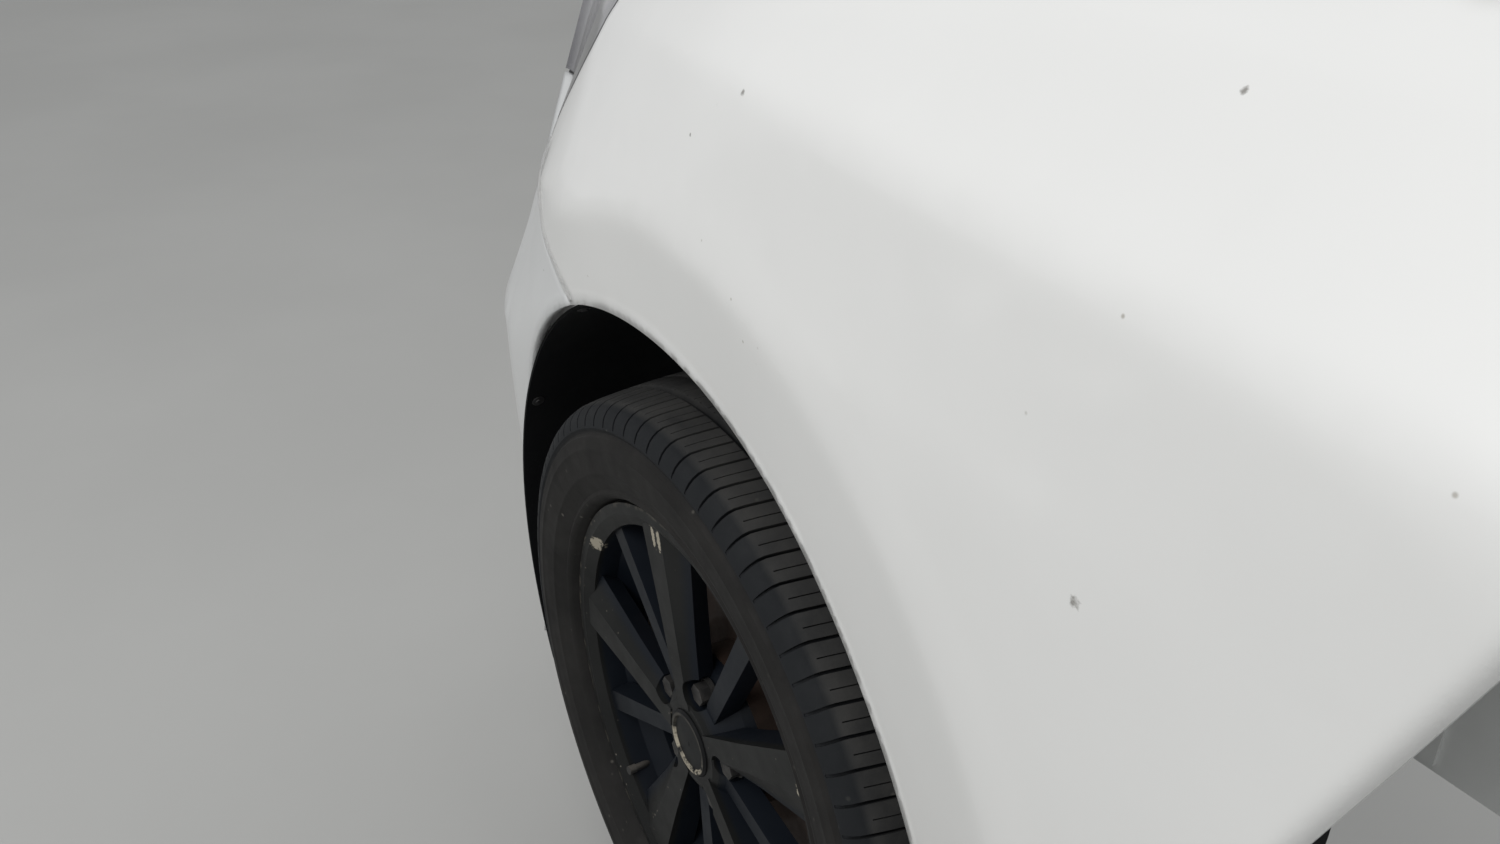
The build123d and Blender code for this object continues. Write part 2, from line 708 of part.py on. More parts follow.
def make_caliper():
    with BuildPart() as caliper:
        profile = (
            (CALIPER_FRONT, CALIPER_INNER + 16), (CALIPER_FRONT + 2, CALIPER_OUTER - 4),
            (CALIPER_FRONT + 8, CALIPER_OUTER), (CALIPER_BACK - 8, CALIPER_OUTER),
            (CALIPER_BACK, CALIPER_OUTER - 10), (CALIPER_BACK, CALIPER_INNER + 6),
            (DISC_FRONT + DISC_THICKNESS + PAD_GAP + PAD_THICKNESS + FIT_GAP, CALIPER_INNER + 6),
            (DISC_FRONT + DISC_THICKNESS + PAD_GAP + PAD_THICKNESS + FIT_GAP, DISC_RADIUS + 6),
            (DISC_FRONT - PAD_GAP - PAD_THICKNESS - FIT_GAP, DISC_RADIUS + 6),
            (DISC_FRONT - PAD_GAP - PAD_THICKNESS - FIT_GAP, CALIPER_INNER + 16),
        )
        add(arc_piece(profile, CALIPER_ANGLE - CALIPER_SPAN / 2, CALIPER_SPAN))
    return caliper


def make_pads():
    reach = CALIPER_SPAN - 6
    with BuildPart() as pads:
        for near in (DISC_FRONT - PAD_GAP - PAD_THICKNESS, DISC_FRONT + DISC_THICKNESS + PAD_GAP):
            profile = (
                (near, CALIPER_INNER), (near, DISC_RADIUS), (near + PAD_THICKNESS, DISC_RADIUS),
                (near + PAD_THICKNESS, CALIPER_INNER),
            )
            add(arc_piece(profile, CALIPER_ANGLE - reach / 2, reach))
    return pads


def make_bracket():
    inner = DISC_FRONT + DISC_THICKNESS + PAD_GAP + PAD_THICKNESS + FIT_GAP
    outer = DISC_FRONT - PAD_GAP - PAD_THICKNESS
    profile = (
        (outer - 8, DISC_RADIUS - 30), (outer - 8, CALIPER_OUTER - 6), (inner + 26, CALIPER_OUTER - 6),
        (inner + 26, CALIPER_INNER + 8), (inner, CALIPER_INNER + 8), (inner, DISC_RADIUS + 6),
        (outer, DISC_RADIUS + 6), (outer, DISC_RADIUS - 30),
    )
    with BuildPart() as bracket:
        for side in (-1, 1):
            middle = CALIPER_ANGLE + side * (CALIPER_SPAN + BRACKET_SPAN + 1) / 2
            add(arc_piece(profile, middle - BRACKET_SPAN / 2, BRACKET_SPAN))
    return bracket


def make_panel(outline, sheets, lip):
    """One outer panel: its share of the skin, with the turned edge of the wheel arch."""
    with BuildPart() as panel:
        for sheet in sheets:
            add(sheet)
        add(arch_hole(ARCH_RADIUS), mode=Mode.SUBTRACT)
        add(lip)
        add(side_prism(outline), mode=Mode.INTERSECT)
    return panel


def plan_prism(points, low, high):
    """An outline seen from above, between two heights."""
    with BuildPart() as prism:
        with BuildSketch(level_plane(low)):
            Polygon(*points, align=None)
        extrude(amount=high - low)
    return prism.part


def bonnet_line(shift):
    """The bonnet gap seen from above, moved inboard."""
    return [(row[0], row[-1][0] + shift) for row in SKIN_ROWS]


def box(low, high):
    """A block between two corners."""
    size = Vector(*high) - Vector(*low)
    with BuildPart(Plane(origin=at(*low))) as block:
        Box(size.X, size.Y, size.Z, align=(Align.MIN, Align.MIN, Align.MIN))
    return block.part


def make_wing(skin, lip, flange):
    outline = (*SEAM, LAMP_REAR, (LAMP_REAR[0] + 8, 760), *WING_REAR, (200, SILL_Z))
    return make_panel(outline, [skin, flange], lip)


def make_bumper(skin, lip):
    front = [(x - PANEL_GAP / 2, z - PANEL_GAP * 0.8) for x, z in SEAM]
    outline = (*front, (SKIN_FRONT, LAMP_LOW - PANEL_GAP), (SKIN_FRONT, BUMPER_LOW), (-200, BUMPER_LOW))
    return make_panel(outline, [skin], lip)


def lamp_outline(gap):
    low, high = SEAM[-1], LAMP_REAR
    return (
        (low[0] - PANEL_GAP - gap, low[1] + gap), (high[0] - PANEL_GAP - gap * 1.6, high[1] - gap),
        (-400, LAMP_HIGH - 4 - gap), (SKIN_FRONT + gap, LAMP_HIGH - 14 - gap),
        (SKIN_FRONT + gap, LAMP_LOW + gap),
    )


def make_lens(skin):
    with BuildPart() as lens:
        add(skin)
        add(side_prism(lamp_outline(0)), mode=Mode.INTERSECT)
    return lens


def make_lamp_housing(under):
    with BuildPart() as housing:
        add(side_prism(lamp_outline(0)))
        add(under, mode=Mode.INTERSECT)
        add(under.moved(Location((0, LAMP_DEPTH, 0))), mode=Mode.SUBTRACT)
        hollow = side_prism(lamp_outline(PANEL)) - under.moved(Location((0, LAMP_DEPTH - PANEL, 0)))
        add(hollow, mode=Mode.SUBTRACT)
    return housing


def make_liner():
    outer = ARCH_RADIUS - LINER_GAP
    inner = outer - PANEL
    with BuildPart() as liner:
        with BuildSketch(face_plane(leg_outer - SHEET - LINER_GAP)):
            with Locations((ARCH_X, ARCH_Z)):
                Circle(outer)
                Circle(inner, mode=Mode.SUBTRACT)
            Polygon(
                (ARCH_X, ARCH_Z), polar(900, LINER_START), polar(900, -90), polar(900, LINER_END),
                align=None, mode=Mode.SUBTRACT,
            )
        extrude(amount=leg_outer - SHEET - LINER_GAP - LINER_EDGE)
        add(box((STRUT_FOOT.X + 20 - STRUT_SLOT, 88, 200), (STRUT_FOOT.X + 20 + STRUT_SLOT, 400, 500)),
            mode=Mode.SUBTRACT)
    return liner


def make_inner_wing():
    """The upright sheet beside the wheel, between the leg and the deck."""
    low = leg_low + 6
    with BuildPart() as sheet:
        with BuildSketch(face_plane(leg_outer)):
            Polygon(
                (INNER_WING_FRONT, low), (INNER_WING_REAR, low), (INNER_WING_REAR, DECK_Z),
                (DECK_FRONT, DECK_Z), (INNER_WING_FRONT, DECK_Z - 80), align=None,
            )
        extrude(amount=SHEET)
    return sheet


def rail_edge(x):
    """The rail's outboard side at x."""
    for (first, low), (second, high) in zip(RAIL_LINE, RAIL_LINE[1:]):
        if first <= x <= second:
            return low + (high - low) * (x - first) / (second - first)
    return RAIL_LINE[-1][1]


def make_tower():
    """The deck over the wheel with the strut's tower through it."""
    places = (DECK_FRONT, *(x for x, y in RAIL_LINE if DECK_FRONT < x < INNER_WING_REAR), INNER_WING_REAR)
    beside = [(x, rail_edge(x) + RAIL_WIDTH + FIT_GAP) for x in places]
    with BuildPart() as tower:
        with BuildSketch(level_plane(DECK_Z)):
            Polygon(*beside, (INNER_WING_REAR, leg_outer + 12), (DECK_FRONT, leg_outer + 12), align=None)
        extrude(amount=SHEET)
        with BuildSketch(strut_plane(TOWER_LOW)):
            Circle(TOWER_RADIUS)
        extrude(amount=TOWER_TOP + TOWER_SHEET - TOWER_LOW)
        with BuildSketch(strut_plane(TOWER_LOW)):
            Circle(TOWER_RADIUS - SHEET)
        extrude(amount=TOWER_TOP - TOWER_LOW, mode=Mode.SUBTRACT)
        with BuildSketch(strut_plane(TOWER_TOP)):
            Circle(TOWER_HOLE)
        extrude(amount=TOWER_SHEET, mode=Mode.SUBTRACT)
        add(box((-400, leg_outer - SHEET, 0), (600, 600, DECK_Z)), mode=Mode.SUBTRACT)
    return tower


def make_rail(under):
    outline = [*RAIL_LINE, *[(x, y + RAIL_WIDTH) for x, y in reversed(RAIL_LINE)]]
    inner = [(x, y + SHEET) for x, y in RAIL_LINE]
    inner += [(x, y + RAIL_WIDTH - SHEET) for x, y in reversed(RAIL_LINE)]
    with BuildPart() as rail:
        add(plan_prism(outline, RAIL_TOP - RAIL_HEIGHT, RAIL_TOP))
        add(plan_prism(inner, RAIL_TOP - RAIL_HEIGHT + SHEET, RAIL_TOP - SHEET), mode=Mode.SUBTRACT)
        for x in STAY_PLACES:
            y = max(rail_edge(x - STAY_WIDTH / 2), rail_edge(x + STAY_WIDTH / 2)) + 1
            stay = box((x - STAY_WIDTH / 2, y, RAIL_TOP), (x + STAY_WIDTH / 2, y + SHEET, 760))
            add(stay & under)
    return rail


def make_carrier(under):
    """The post on the chassis leg that holds the headlamp, with its arm."""
    low, high = CARRIER_X, CARRIER_X + CARRIER_WIDTH
    top = CARRIER_TOP
    reach = leg_outer + 2
    with BuildPart() as carrier:
        add(box((low, 60, top - CARRIER_WIDTH), (high, reach, top)))
        add(under.moved(Location((0, LAMP_DEPTH + FIT_GAP, 0))), mode=Mode.INTERSECT)
        add(box((low, reach, leg_high), (high, reach + CARRIER_WIDTH, top)))
        inside = (high - SHEET, reach + CARRIER_WIDTH - SHEET, top - SHEET)
        add(box((low - 1, 0, top - CARRIER_WIDTH + SHEET), inside), mode=Mode.SUBTRACT)
        add(box((low - 1, reach + SHEET, leg_high + SHEET), inside), mode=Mode.SUBTRACT)
    return carrier


def make_bumper_bracket(under):
    """The strip behind the seam and the lamp's lower edge that joins bumper and wing."""
    edge = lamp_outline(-FIT_GAP)
    outline = (
        (-143, 380), (-199, 415), (-281, 474), edge[0], (SKIN_FRONT + 4, edge[-1][1]),
        (SKIN_FRONT + 4, edge[-1][1] - 15), (-312, 452), (-219, 391), (-176, 362),
    )
    with BuildPart() as bracket:
        add(side_prism(outline))
        add(under, mode=Mode.INTERSECT)
        add(skin_volume(2 * PANEL + FIT_GAP), mode=Mode.SUBTRACT)
    return bracket


def make_lamp_unit(under):
    """Two reflector bowls that look forward, on feet from the housing's back."""
    room = side_prism(lamp_outline(PANEL + 2)) & under.moved(Location((0, 2, 0)))
    room = room - under.moved(Location((0, LAMP_DEPTH - PANEL - FIT_GAP, 0)))
    with BuildPart() as unit:
        for x, y, z, radius in LAMP_BOWLS:
            add(drum(Vector(x - BOWL_DEPTH, y, z), Vector(x, y, z), radius, radius * 0.5))
            add(box((x - BOWL_DEPTH + 6, y + radius * 0.5, z - 10), (x - 10, y + 90, z + 10)))
        for x, y, z, radius in LAMP_BOWLS:
            ends = (Vector(x - BOWL_DEPTH, y, z), Vector(x - 4, y, z))
            add(drum(*ends, radius - 3, radius * 0.5 - 3), mode=Mode.SUBTRACT)
        add(room, mode=Mode.INTERSECT)
    return unit


def make_leg():
    front = LEG_FRONT
    rear = WHEEL_AHEAD
    with BuildPart() as leg:
        for wall, mode in ((0, Mode.ADD), (LEG_WALL, Mode.SUBTRACT)):
            with BuildSketch(cross_plane(front + FLANGE_PLATE)):
                with Locations((leg_y, leg_z)):
                    Rectangle(LEG_WIDTH - 2 * wall, LEG_HEIGHT - 2 * wall)
            extrude(amount=rear - front - 2 * FLANGE_PLATE, mode=mode)
        for x in (front, rear - FLANGE_PLATE):
            with BuildSketch(cross_plane(x)):
                with Locations((leg_y, leg_z)):
                    Rectangle(LEG_WIDTH + 2 * FLANGE_MARGIN, LEG_HEIGHT + 2 * FLANGE_MARGIN)
                    with GridLocations(LEG_WIDTH + FLANGE_MARGIN, LEG_HEIGHT + FLANGE_MARGIN, 2, 2):
                        Circle(LEG_BOLT, mode=Mode.SUBTRACT)
            extrude(amount=FLANGE_PLATE)
    return leg


def make_subframe():
    low = ARM_FRONT.Z - BUSH_RADIUS
    high = low + SUBFRAME_HEIGHT
    y = ARM_FRONT.Y + BUSH_RADIUS + FIT_GAP
    front, rear = SUBFRAME_ENDS
    room = BUSH_RADIUS + 4
    half = BUSH_WIDTH / 2 + FIT_GAP
    with BuildPart() as subframe:
        add(box((front, y, low), (rear, y + SUBFRAME_WIDTH, high)))
        for x in (front, rear - POST):
            add(box((x, leg_outer + 12, high - 1), (x + POST, leg_outer + 12 + POST, leg_low)))
        for side in (-1, 1):
            inner, outer = sorted((side * half, side * (half + 6)))
            add(box((inner, ARM_FRONT.Y - 16, low), (outer, y, high)))
        add(drum(Vector(-half, ARM_FRONT.Y, ARM_FRONT.Z), Vector(half, ARM_FRONT.Y, ARM_FRONT.Z), BUSH_PIN))
        eye = ARM_REAR
        pocket = box((ARM_POCKET, y - 1, eye.Z - half), (eye.X + room, eye.Y + room, eye.Z + half))
        add(pocket, mode=Mode.SUBTRACT)
        add(drum(eye - Vector(0, 0, half), eye + Vector(0, 0, half), BUSH_PIN))
    return subframe


def make_lower_arm():
    eye = BALL - steer_direction * 12
    reach = Vector(BUSH_WIDTH / 2, 0, 0)
    rise = Vector(0, 0, BUSH_WIDTH / 2)
    x, y = BALL.X, BALL.Y
    with BuildPart() as arm:
        with BuildSketch(level_plane(ARM_FRONT.Z - ARM_THICKNESS / 2)):
            Polygon(
                (x - 17, y), (-34, 150), (-28, ARM_FRONT.Y - 30), (-18, ARM_FRONT.Y - 20),
                (-18, ARM_FRONT.Y - 10), (18, ARM_FRONT.Y - 10), (18, ARM_FRONT.Y - 20),
                (30, ARM_FRONT.Y - 20), (75, ARM_FRONT.Y + 2), (140, ARM_REAR.Y + 12),
                (ARM_REAR.X, ARM_REAR.Y + 18),
                (ARM_REAR.X, ARM_REAR.Y - 18),
                (155, ARM_REAR.Y - 23), (80, 262), (42, 220), (26, 170), (x + 17, y), align=None,
            )
        extrude(amount=ARM_THICKNESS)
        add(drum(eye, eye - steer_direction * 26, BALL_HOUSING))
        add(drum(ARM_FRONT - reach, ARM_FRONT + reach, BUSH_RADIUS))
        add(drum(ARM_REAR - rise, ARM_REAR + rise, BUSH_RADIUS))
        add(drum(BALL, BALL - steer_direction * 17, STUD_RADIUS + FIT_GAP), mode=Mode.SUBTRACT)
        add(drum(ARM_FRONT - reach, ARM_FRONT + reach, BUSH_BORE), mode=Mode.SUBTRACT)
        add(drum(ARM_REAR - rise, ARM_REAR + rise, BUSH_BORE), mode=Mode.SUBTRACT)
    return arm


def make_bushes():
    """The rubber sleeves in the arm's two inner eyes."""
    lying = Vector(BUSH_WIDTH / 2, 0, 0)
    upright = Vector(0, 0, BUSH_WIDTH / 2)
    with BuildPart() as bushes:
        for middle, reach in ((ARM_FRONT, lying), (ARM_REAR, upright)):
            sleeve = drum(middle - reach, middle + reach, BUSH_BORE - FIT_GAP)
            add(sleeve - drum(middle - reach, middle + reach, BUSH_PIN + FIT_GAP))
    return bushes


def make_driveshaft():
    reach = JOINT_RADIUS + CUP_GAP
    centre = JOINT_CENTRE.Y
    with BuildPart() as shaft:
        with BuildSketch(wheel_section):
            with Locations((centre, 0)):
                Circle(reach + CUP_WALL)
                Circle(reach, mode=Mode.SUBTRACT)
            with Locations((centre + CUP_EDGE, 0)):
                Rectangle(200, 200, align=(Align.MAX, Align.CENTER), mode=Mode.SUBTRACT)
            Polygon(
                (centre + reach + 1, 0), (centre + reach + 1, 20), (BOOT_END, SHAFT_RADIUS + 3),
                (BOOT_END, SHAFT_RADIUS), (SHAFT_END, SHAFT_RADIUS), (SHAFT_END, 0), align=None,
            )
            with Locations((200, 0)):
                Rectangle(600, 200, align=(Align.CENTER, Align.MAX), mode=Mode.SUBTRACT)
        revolve(axis=wheel_axis)
    return shaft


def make_track_rod():
    """The rod to the steering rack: its ball joint stands on the knuckle's eye."""
    seat = STEER_EYE + steer_direction * (EYE_THICKNESS / 2 + FIT_GAP)
    eye = seat + steer_direction * ROD_END_RADIUS
    stud_end = STEER_EYE - steer_direction * (EYE_THICKNESS / 2 + 8)
    with BuildPart() as rod:
        add(drum(seat, seat + steer_direction * 2 * ROD_END_RADIUS, ROD_END_RADIUS + 2))
        add(drum(eye, stud_end, ROD_STUD))
        add(drum(eye, Vector(eye.X, TRACK_ROD_END - ROD_THREAD_LENGTH, eye.Z), TRACK_ROD_RADIUS))
        add(drum(eye, Vector(eye.X, TRACK_ROD_END, eye.Z), ROD_THREAD_RADIUS))
    return rod


def save_panels():
    """The skin and all that is fitted against it."""
    edge = bonnet_line(0)
    edge[0] = (SKIN_FRONT - 2, edge[0][1])
    edge[-1] = (SKIN_REAR, edge[-1][1])
    plan = [(SKIN_FRONT - 2, -INBOARD), (SKIN_REAR, -INBOARD), *reversed(edge)]
    outside = plan_prism(plan, SILL_Z - 20, ABOVE_ALL) & skin_volume(0)
    skin = outside - skin_volume(PANEL)
    deep = skin_volume(LIP_FLANGE)
    under = skin_volume(PANEL + FIT_GAP)
    lip = ((arch_hole(ARCH_RADIUS + PANEL) - arch_hole(ARCH_RADIUS)) & outside) - deep
    band = plan_prism([*bonnet_line(-PANEL), *reversed(bonnet_line(0))], 500, ABOVE_ALL)
    flange = (band & outside) - deep
    save(make_wing(skin, lip, flange), "wing")
    save(make_bumper(skin, lip), "bumper_corner")
    save(make_lens(skin), "headlamp_lens")
    save(make_lamp_housing(under), "headlamp_housing")
    save(make_lamp_unit(under), "headlamp_reflectors")
    save(make_carrier(under), "headlamp_carrier")
    save(make_bumper_bracket(under), "bumper_bracket")
    save(make_rail(under), "wing_rail")


def save_body():
    """The rest that stays with the car's body."""
    save(make_liner(), "arch_liner")
    save(make_inner_wing(), "inner_wing")
    save(make_tower(), "strut_tower")
    save(make_leg(), "chassis_leg")
    save(make_subframe(), "subframe")
    save(make_lower_arm(), "lower_arm")
    save(make_bushes(), "arm_bushes")
    save(make_driveshaft(), "driveshaft")
    save(make_track_rod(), "track_rod")


def save_wheel():
    """The wheel, the brake, and what steers and springs with them."""
    save(make_tyre(), "tyre")
    save(make_rim(), "alloy_wheel")
    save(make_cap(), "centre_cap")
    save(make_bolts(), "wheel_bolts")
    save(make_disc(), "brake_disc")
    save(make_hub(), "hub")
    save(make_joint_bell(), "joint_bell")
    save(make_knuckle(), "knuckle")
    save(make_strut(), "strut")
    save(make_seat(SPRING_LOW - SEAT_THICKNESS, STRUT_RADIUS), "lower_spring_seat")
    save(make_seat(SPRING_HIGH, ROD_RADIUS), "upper_spring_seat")
    save(make_spring(), "coil_spring")
    save(make_shield(), "dust_shield")
    save(make_caliper(), "brake_caliper")
    save(make_pads(), "brake_pads")
    save(make_bracket(), "caliper_bracket")
    save(make_top_mount(), "top_mount")


if __name__ == "__main__":
    os.makedirs("parts", exist_ok=True)
    save_panels()
    save_body()
    save_wheel()
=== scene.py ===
"""Looks for the front left corner of a hatchback car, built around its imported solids."""

import json
import logging
import math
from dataclasses import dataclass
from enum import Enum
from functools import cache
from typing import Callable, Iterable, Sequence

import bmesh
import bpy
from mathutils import Matrix, Vector
from mathutils.bvhtree import BVHTree


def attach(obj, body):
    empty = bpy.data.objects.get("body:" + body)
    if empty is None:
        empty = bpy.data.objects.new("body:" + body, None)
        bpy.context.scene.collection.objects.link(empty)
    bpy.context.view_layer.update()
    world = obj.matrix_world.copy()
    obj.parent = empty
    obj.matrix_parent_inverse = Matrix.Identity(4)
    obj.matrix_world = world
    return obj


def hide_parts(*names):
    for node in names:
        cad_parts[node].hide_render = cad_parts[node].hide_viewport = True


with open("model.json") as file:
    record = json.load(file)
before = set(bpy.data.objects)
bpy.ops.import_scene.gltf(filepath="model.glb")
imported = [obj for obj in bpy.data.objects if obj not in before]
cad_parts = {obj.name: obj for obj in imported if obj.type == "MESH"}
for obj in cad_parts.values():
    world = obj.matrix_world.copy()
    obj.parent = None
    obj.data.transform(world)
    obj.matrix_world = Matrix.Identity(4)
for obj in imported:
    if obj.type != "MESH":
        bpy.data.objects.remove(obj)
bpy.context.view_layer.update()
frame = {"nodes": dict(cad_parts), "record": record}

log = logging.getLogger("corner")

Colour = Place = tuple[float, float, float]
Spot = tuple[float, float]
Marks = tuple[tuple[float, float, float, float], ...]
Socket = bpy.types.NodeSocket
BMesh = bmesh.types.BMesh

MM = 0.001
WHEEL_MIDDLE = Vector((-0.600, -0.325, -0.185))
AXLE = OUTBOARD = Vector((0.0, -1.0, 0.0))
INBOARD = -OUTBOARD
UP = Vector((0.0, 0.0, 1.0))
REARWARD = Vector((1.0, 0.0, 0.0))
STRUT_FOOT = Vector((7.0, 119.5, 58.0))
STRUT_TOP = Vector((40.0, 204.0, 545.0))


class Body(Enum):
    """The groups that the new pieces move with."""

    CORNER = "corner"
    KNUCKLE = "knuckle"
    WHEEL = "wheel"
    DRIVESHAFT = "driveshaft"


def at(x: float, y: float, z: float) -> Vector:
    """Gives the place in metres of a point in millimetres from the wheel's middle."""
    return WHEEL_MIDDLE + Vector((x, y, z)) * MM


def clamped(value: float, low: float = 0.0, high: float = 1.0) -> float:
    """Keeps a value between two limits."""
    return max(low, min(high, value))


def around(radius: float, degrees: float, y: float) -> Vector:
    """Gives the place of a point on the wheel.

    Args:
        radius: Distance from the axle in millimetres.
        degrees: Angle counted from the back of the car, upwards.
        y: Distance inboard of the wheel's middle in millimetres.

    Returns:
        The place in metres.
    """
    turn = math.radians(degrees)
    return at(radius * math.cos(turn), y, radius * math.sin(turn))


def placed(name: str, data: bpy.types.ID) -> bpy.types.Object:
    """Adds an object to the scene and gives it."""
    item = bpy.data.objects.new(name, data)
    bpy.context.scene.collection.objects.link(item)
    return item


# ---- materials ----


class Nodes:
    """A small hand for laying out shader nodes in one tree."""

    columns: int = 8
    cell: tuple[int, int] = (220, -260)

    def __init__(self, tree: bpy.types.NodeTree) -> None:
        """Keeps the tree and clears it.

        Args:
            tree: The node tree of a material, a world or a group.
        """
        self.tree = tree
        tree.nodes.clear()
        self.count = 0

    def add(self, kind: str, sockets: dict | None = None, **settings) -> bpy.types.Node:
        """Adds a node.

        Args:
            kind: The node's type name in Blender.
            sockets: Input names or numbers, with a value or an output to link.
            **settings: Properties of the node.

        Returns:
            The new node.
        """
        node = self.tree.nodes.new(kind)
        row, column = divmod(self.count, self.columns)
        node.location = (self.cell[0] * column, self.cell[1] * row)
        self.count += 1
        for name, value in settings.items():
            setattr(node, name, value)
        for name, value in (sockets or {}).items():
            self.feed(node.inputs[name], value)
        return node

    def feed(self, socket: Socket, value: object) -> None:
        """Links an output to a socket, or sets its value."""
        if isinstance(value, Socket):
            self.tree.links.new(value, socket)
        elif isinstance(value, tuple) and len(value) == 3 and socket.type == "RGBA":
            socket.default_value = (*value, 1.0)
        else:
            socket.default_value = value

    def math(self, operation: str, *values: object) -> Socket:
        """Adds a Math node and gives its output."""
        return self.add("ShaderNodeMath", dict(enumerate(values)), operation=operation).outputs[0]

    def times(self, product: object, *factors: object) -> object:
        """Multiplies values one after another and gives the product."""
        for factor in factors:
            product = self.math("MULTIPLY", product, factor)
        return product

    def blend(self, share: object, first: object, second: object) -> Socket:
        """Mixes two colours by a share and gives the colour."""
        return self.add("ShaderNodeMix", {0: share, 6: first, 7: second}, data_type="RGBA").outputs[2]

    def span(self, value: object, low: float, high: float, to_low: float = 0.0,
             to_high: float = 1.0, smooth: bool = False) -> Socket:
        """Maps a value's range to another range, clamped, and gives the value."""
        numbers = dict(enumerate((value, low, high, to_low, to_high)))
        kind = "SMOOTHSTEP" if smooth else "LINEAR"
        return self.add("ShaderNodeMapRange", numbers, interpolation_type=kind).outputs[0]


class Group:
    """One shared effect, kept as a shader node group."""

    colours: tuple[str, ...] = ("Dark", "Light", "Colour")

    def __init__(self, name: str, inputs: Sequence[str], outputs: Sequence[str],
                 build: Callable[[Nodes, dict], dict]) -> None:
        """Builds the group once.

        Args:
            name: The group's name.
            inputs: Input names, those in colours for a colour and others for a value.
            outputs: Output names, likewise.
            build: Lays out the nodes and gives a socket for each output.
        """
        self.tree = bpy.data.node_groups.new(name, "ShaderNodeTree")
        for way, labels in (("INPUT", inputs), ("OUTPUT", outputs)):
            for label in labels:
                kind = "NodeSocketColor" if label in self.colours else "NodeSocketFloat"
                self.tree.interface.new_socket(label, in_out=way, socket_type=kind)
        nodes = Nodes(self.tree)
        entry = nodes.add("NodeGroupInput")
        made = build(nodes, {label: entry.outputs[label] for label in inputs})
        nodes.add("NodeGroupOutput", made)

    def use(self, nodes: Nodes, **sockets: object) -> bpy.types.bpy_prop_collection:
        """Places the group in a tree, with a value or link for every input, and gives its outputs."""
        return nodes.add("ShaderNodeGroup", sockets, node_tree=self.tree).outputs


def object_place(nodes: Nodes) -> Socket:
    """Gives the socket of a point's place on the piece at rest."""
    return nodes.add("ShaderNodeTexCoord").outputs["Object"]


def noise(nodes: Nodes, scale: object, detail: float, rough: float = 0.55) -> Socket:
    """Gives a noise value over the piece."""
    node = nodes.add("ShaderNodeTexNoise", {"Vector": object_place(nodes), "Scale": scale,
                                            "Detail": detail, "Roughness": rough})
    return node.outputs["Fac"]


def build_mottle(nodes: Nodes, given: dict) -> dict:
    """Two tones that drift into each other over the piece."""
    broad = noise(nodes, given["Scale"], 5.0)
    share = nodes.span(broad, 0.35, 0.68, smooth=True)
    return {"Colour": nodes.blend(share, given["Dark"], given["Light"])}


# Turns a cell's tone into another number from 0 to 1, by which cells are chosen
SHUFFLE = 7.31


def build_specks(nodes: Nodes, given: dict) -> dict:
    """Small scattered spots, such as chips, flecks and grit."""
    cells = nodes.add("ShaderNodeTexVoronoi", {"Vector": object_place(nodes), "Scale": given["Scale"],
                                               "Randomness": 1.0})
    patch = nodes.span(noise(nodes, 9.0, 3.0), 0.45, 0.62, smooth=True)
    lot = nodes.add("ShaderNodeSeparateColor", {0: cells.outputs["Color"]}).outputs[0]
    chosen = nodes.math("LESS_THAN", nodes.math("FRACT", nodes.times(lot, SHUFFLE)), given["Amount"])
    near = nodes.math("SUBTRACT", 1.0, nodes.span(cells.outputs["Distance"], 0.05, 0.22, smooth=True))
    return {"Mask": nodes.times(near, chosen, patch)}


def build_dust(nodes: Nodes, given: dict) -> dict:
    """Dust that lies on the parts that face up, in uneven patches."""
    normal = nodes.add("ShaderNodeNewGeometry").outputs["Normal"]
    height = nodes.add("ShaderNodeSeparateXYZ", {0: normal}).outputs[2]
    facing = nodes.span(height, given["Facing"], 1.0, smooth=True)
    patch = nodes.span(noise(nodes, 14.0, 6.0, 0.65), 0.32, 0.70)
    fine = nodes.span(noise(nodes, 240.0, 3.0, 0.7), 0.3, 0.7, 0.55, 1.0)
    return {"Mask": nodes.times(facing, patch, fine)}


def build_grain(nodes: Nodes, given: dict) -> dict:
    """The fine height of a moulded or cast surface."""
    fine = noise(nodes, given["Scale"], 3.0, 0.6)
    broad = noise(nodes, nodes.times(given["Scale"], 0.13), 3.0)
    return {"Height": nodes.math("ADD", fine, nodes.times(broad, given["Broad"]))}


def build_wheel_place(nodes: Nodes, given: dict) -> dict:
    """Where a point lies on the wheel: its radius, its angle from the back, and its depth."""
    offset = nodes.add("ShaderNodeVectorMath", {0: object_place(nodes), 1: tuple(WHEEL_MIDDLE)},
                       operation="SUBTRACT").outputs[0]
    split = nodes.add("ShaderNodeSeparateXYZ", {0: offset})
    x, y, z = (nodes.times(split.outputs[part], 1 / MM) for part in range(3))
    radius = nodes.math("SQRT", nodes.math("ADD", nodes.times(x, x), nodes.times(z, z)))
    angle = nodes.times(nodes.math("ARCTAN2", z, x), 180 / math.pi)
    return {"Radius": radius, "Angle": angle, "Depth": y, "Up": z}


class Effects:
    """The node groups that the finishes share."""

    mottle = Group("mottle", ("Dark", "Light", "Scale"), ("Colour",), build_mottle)
    specks = Group("specks", ("Scale", "Amount"), ("Mask",), build_specks)
    dust = Group("dust", ("Facing",), ("Mask",), build_dust)
    grain = Group("grain", ("Scale", "Broad"), ("Height",), build_grain)
    wheel_place = Group("wheel_place", (), ("Radius", "Angle", "Depth", "Up"), build_wheel_place)


def new_material(name: str) -> tuple[bpy.types.Material, Nodes]:
    """Makes an empty material, and gives it with its nodes."""
    material = bpy.data.materials.new(name)
    material.use_nodes = True
    return material, Nodes(material.node_tree)


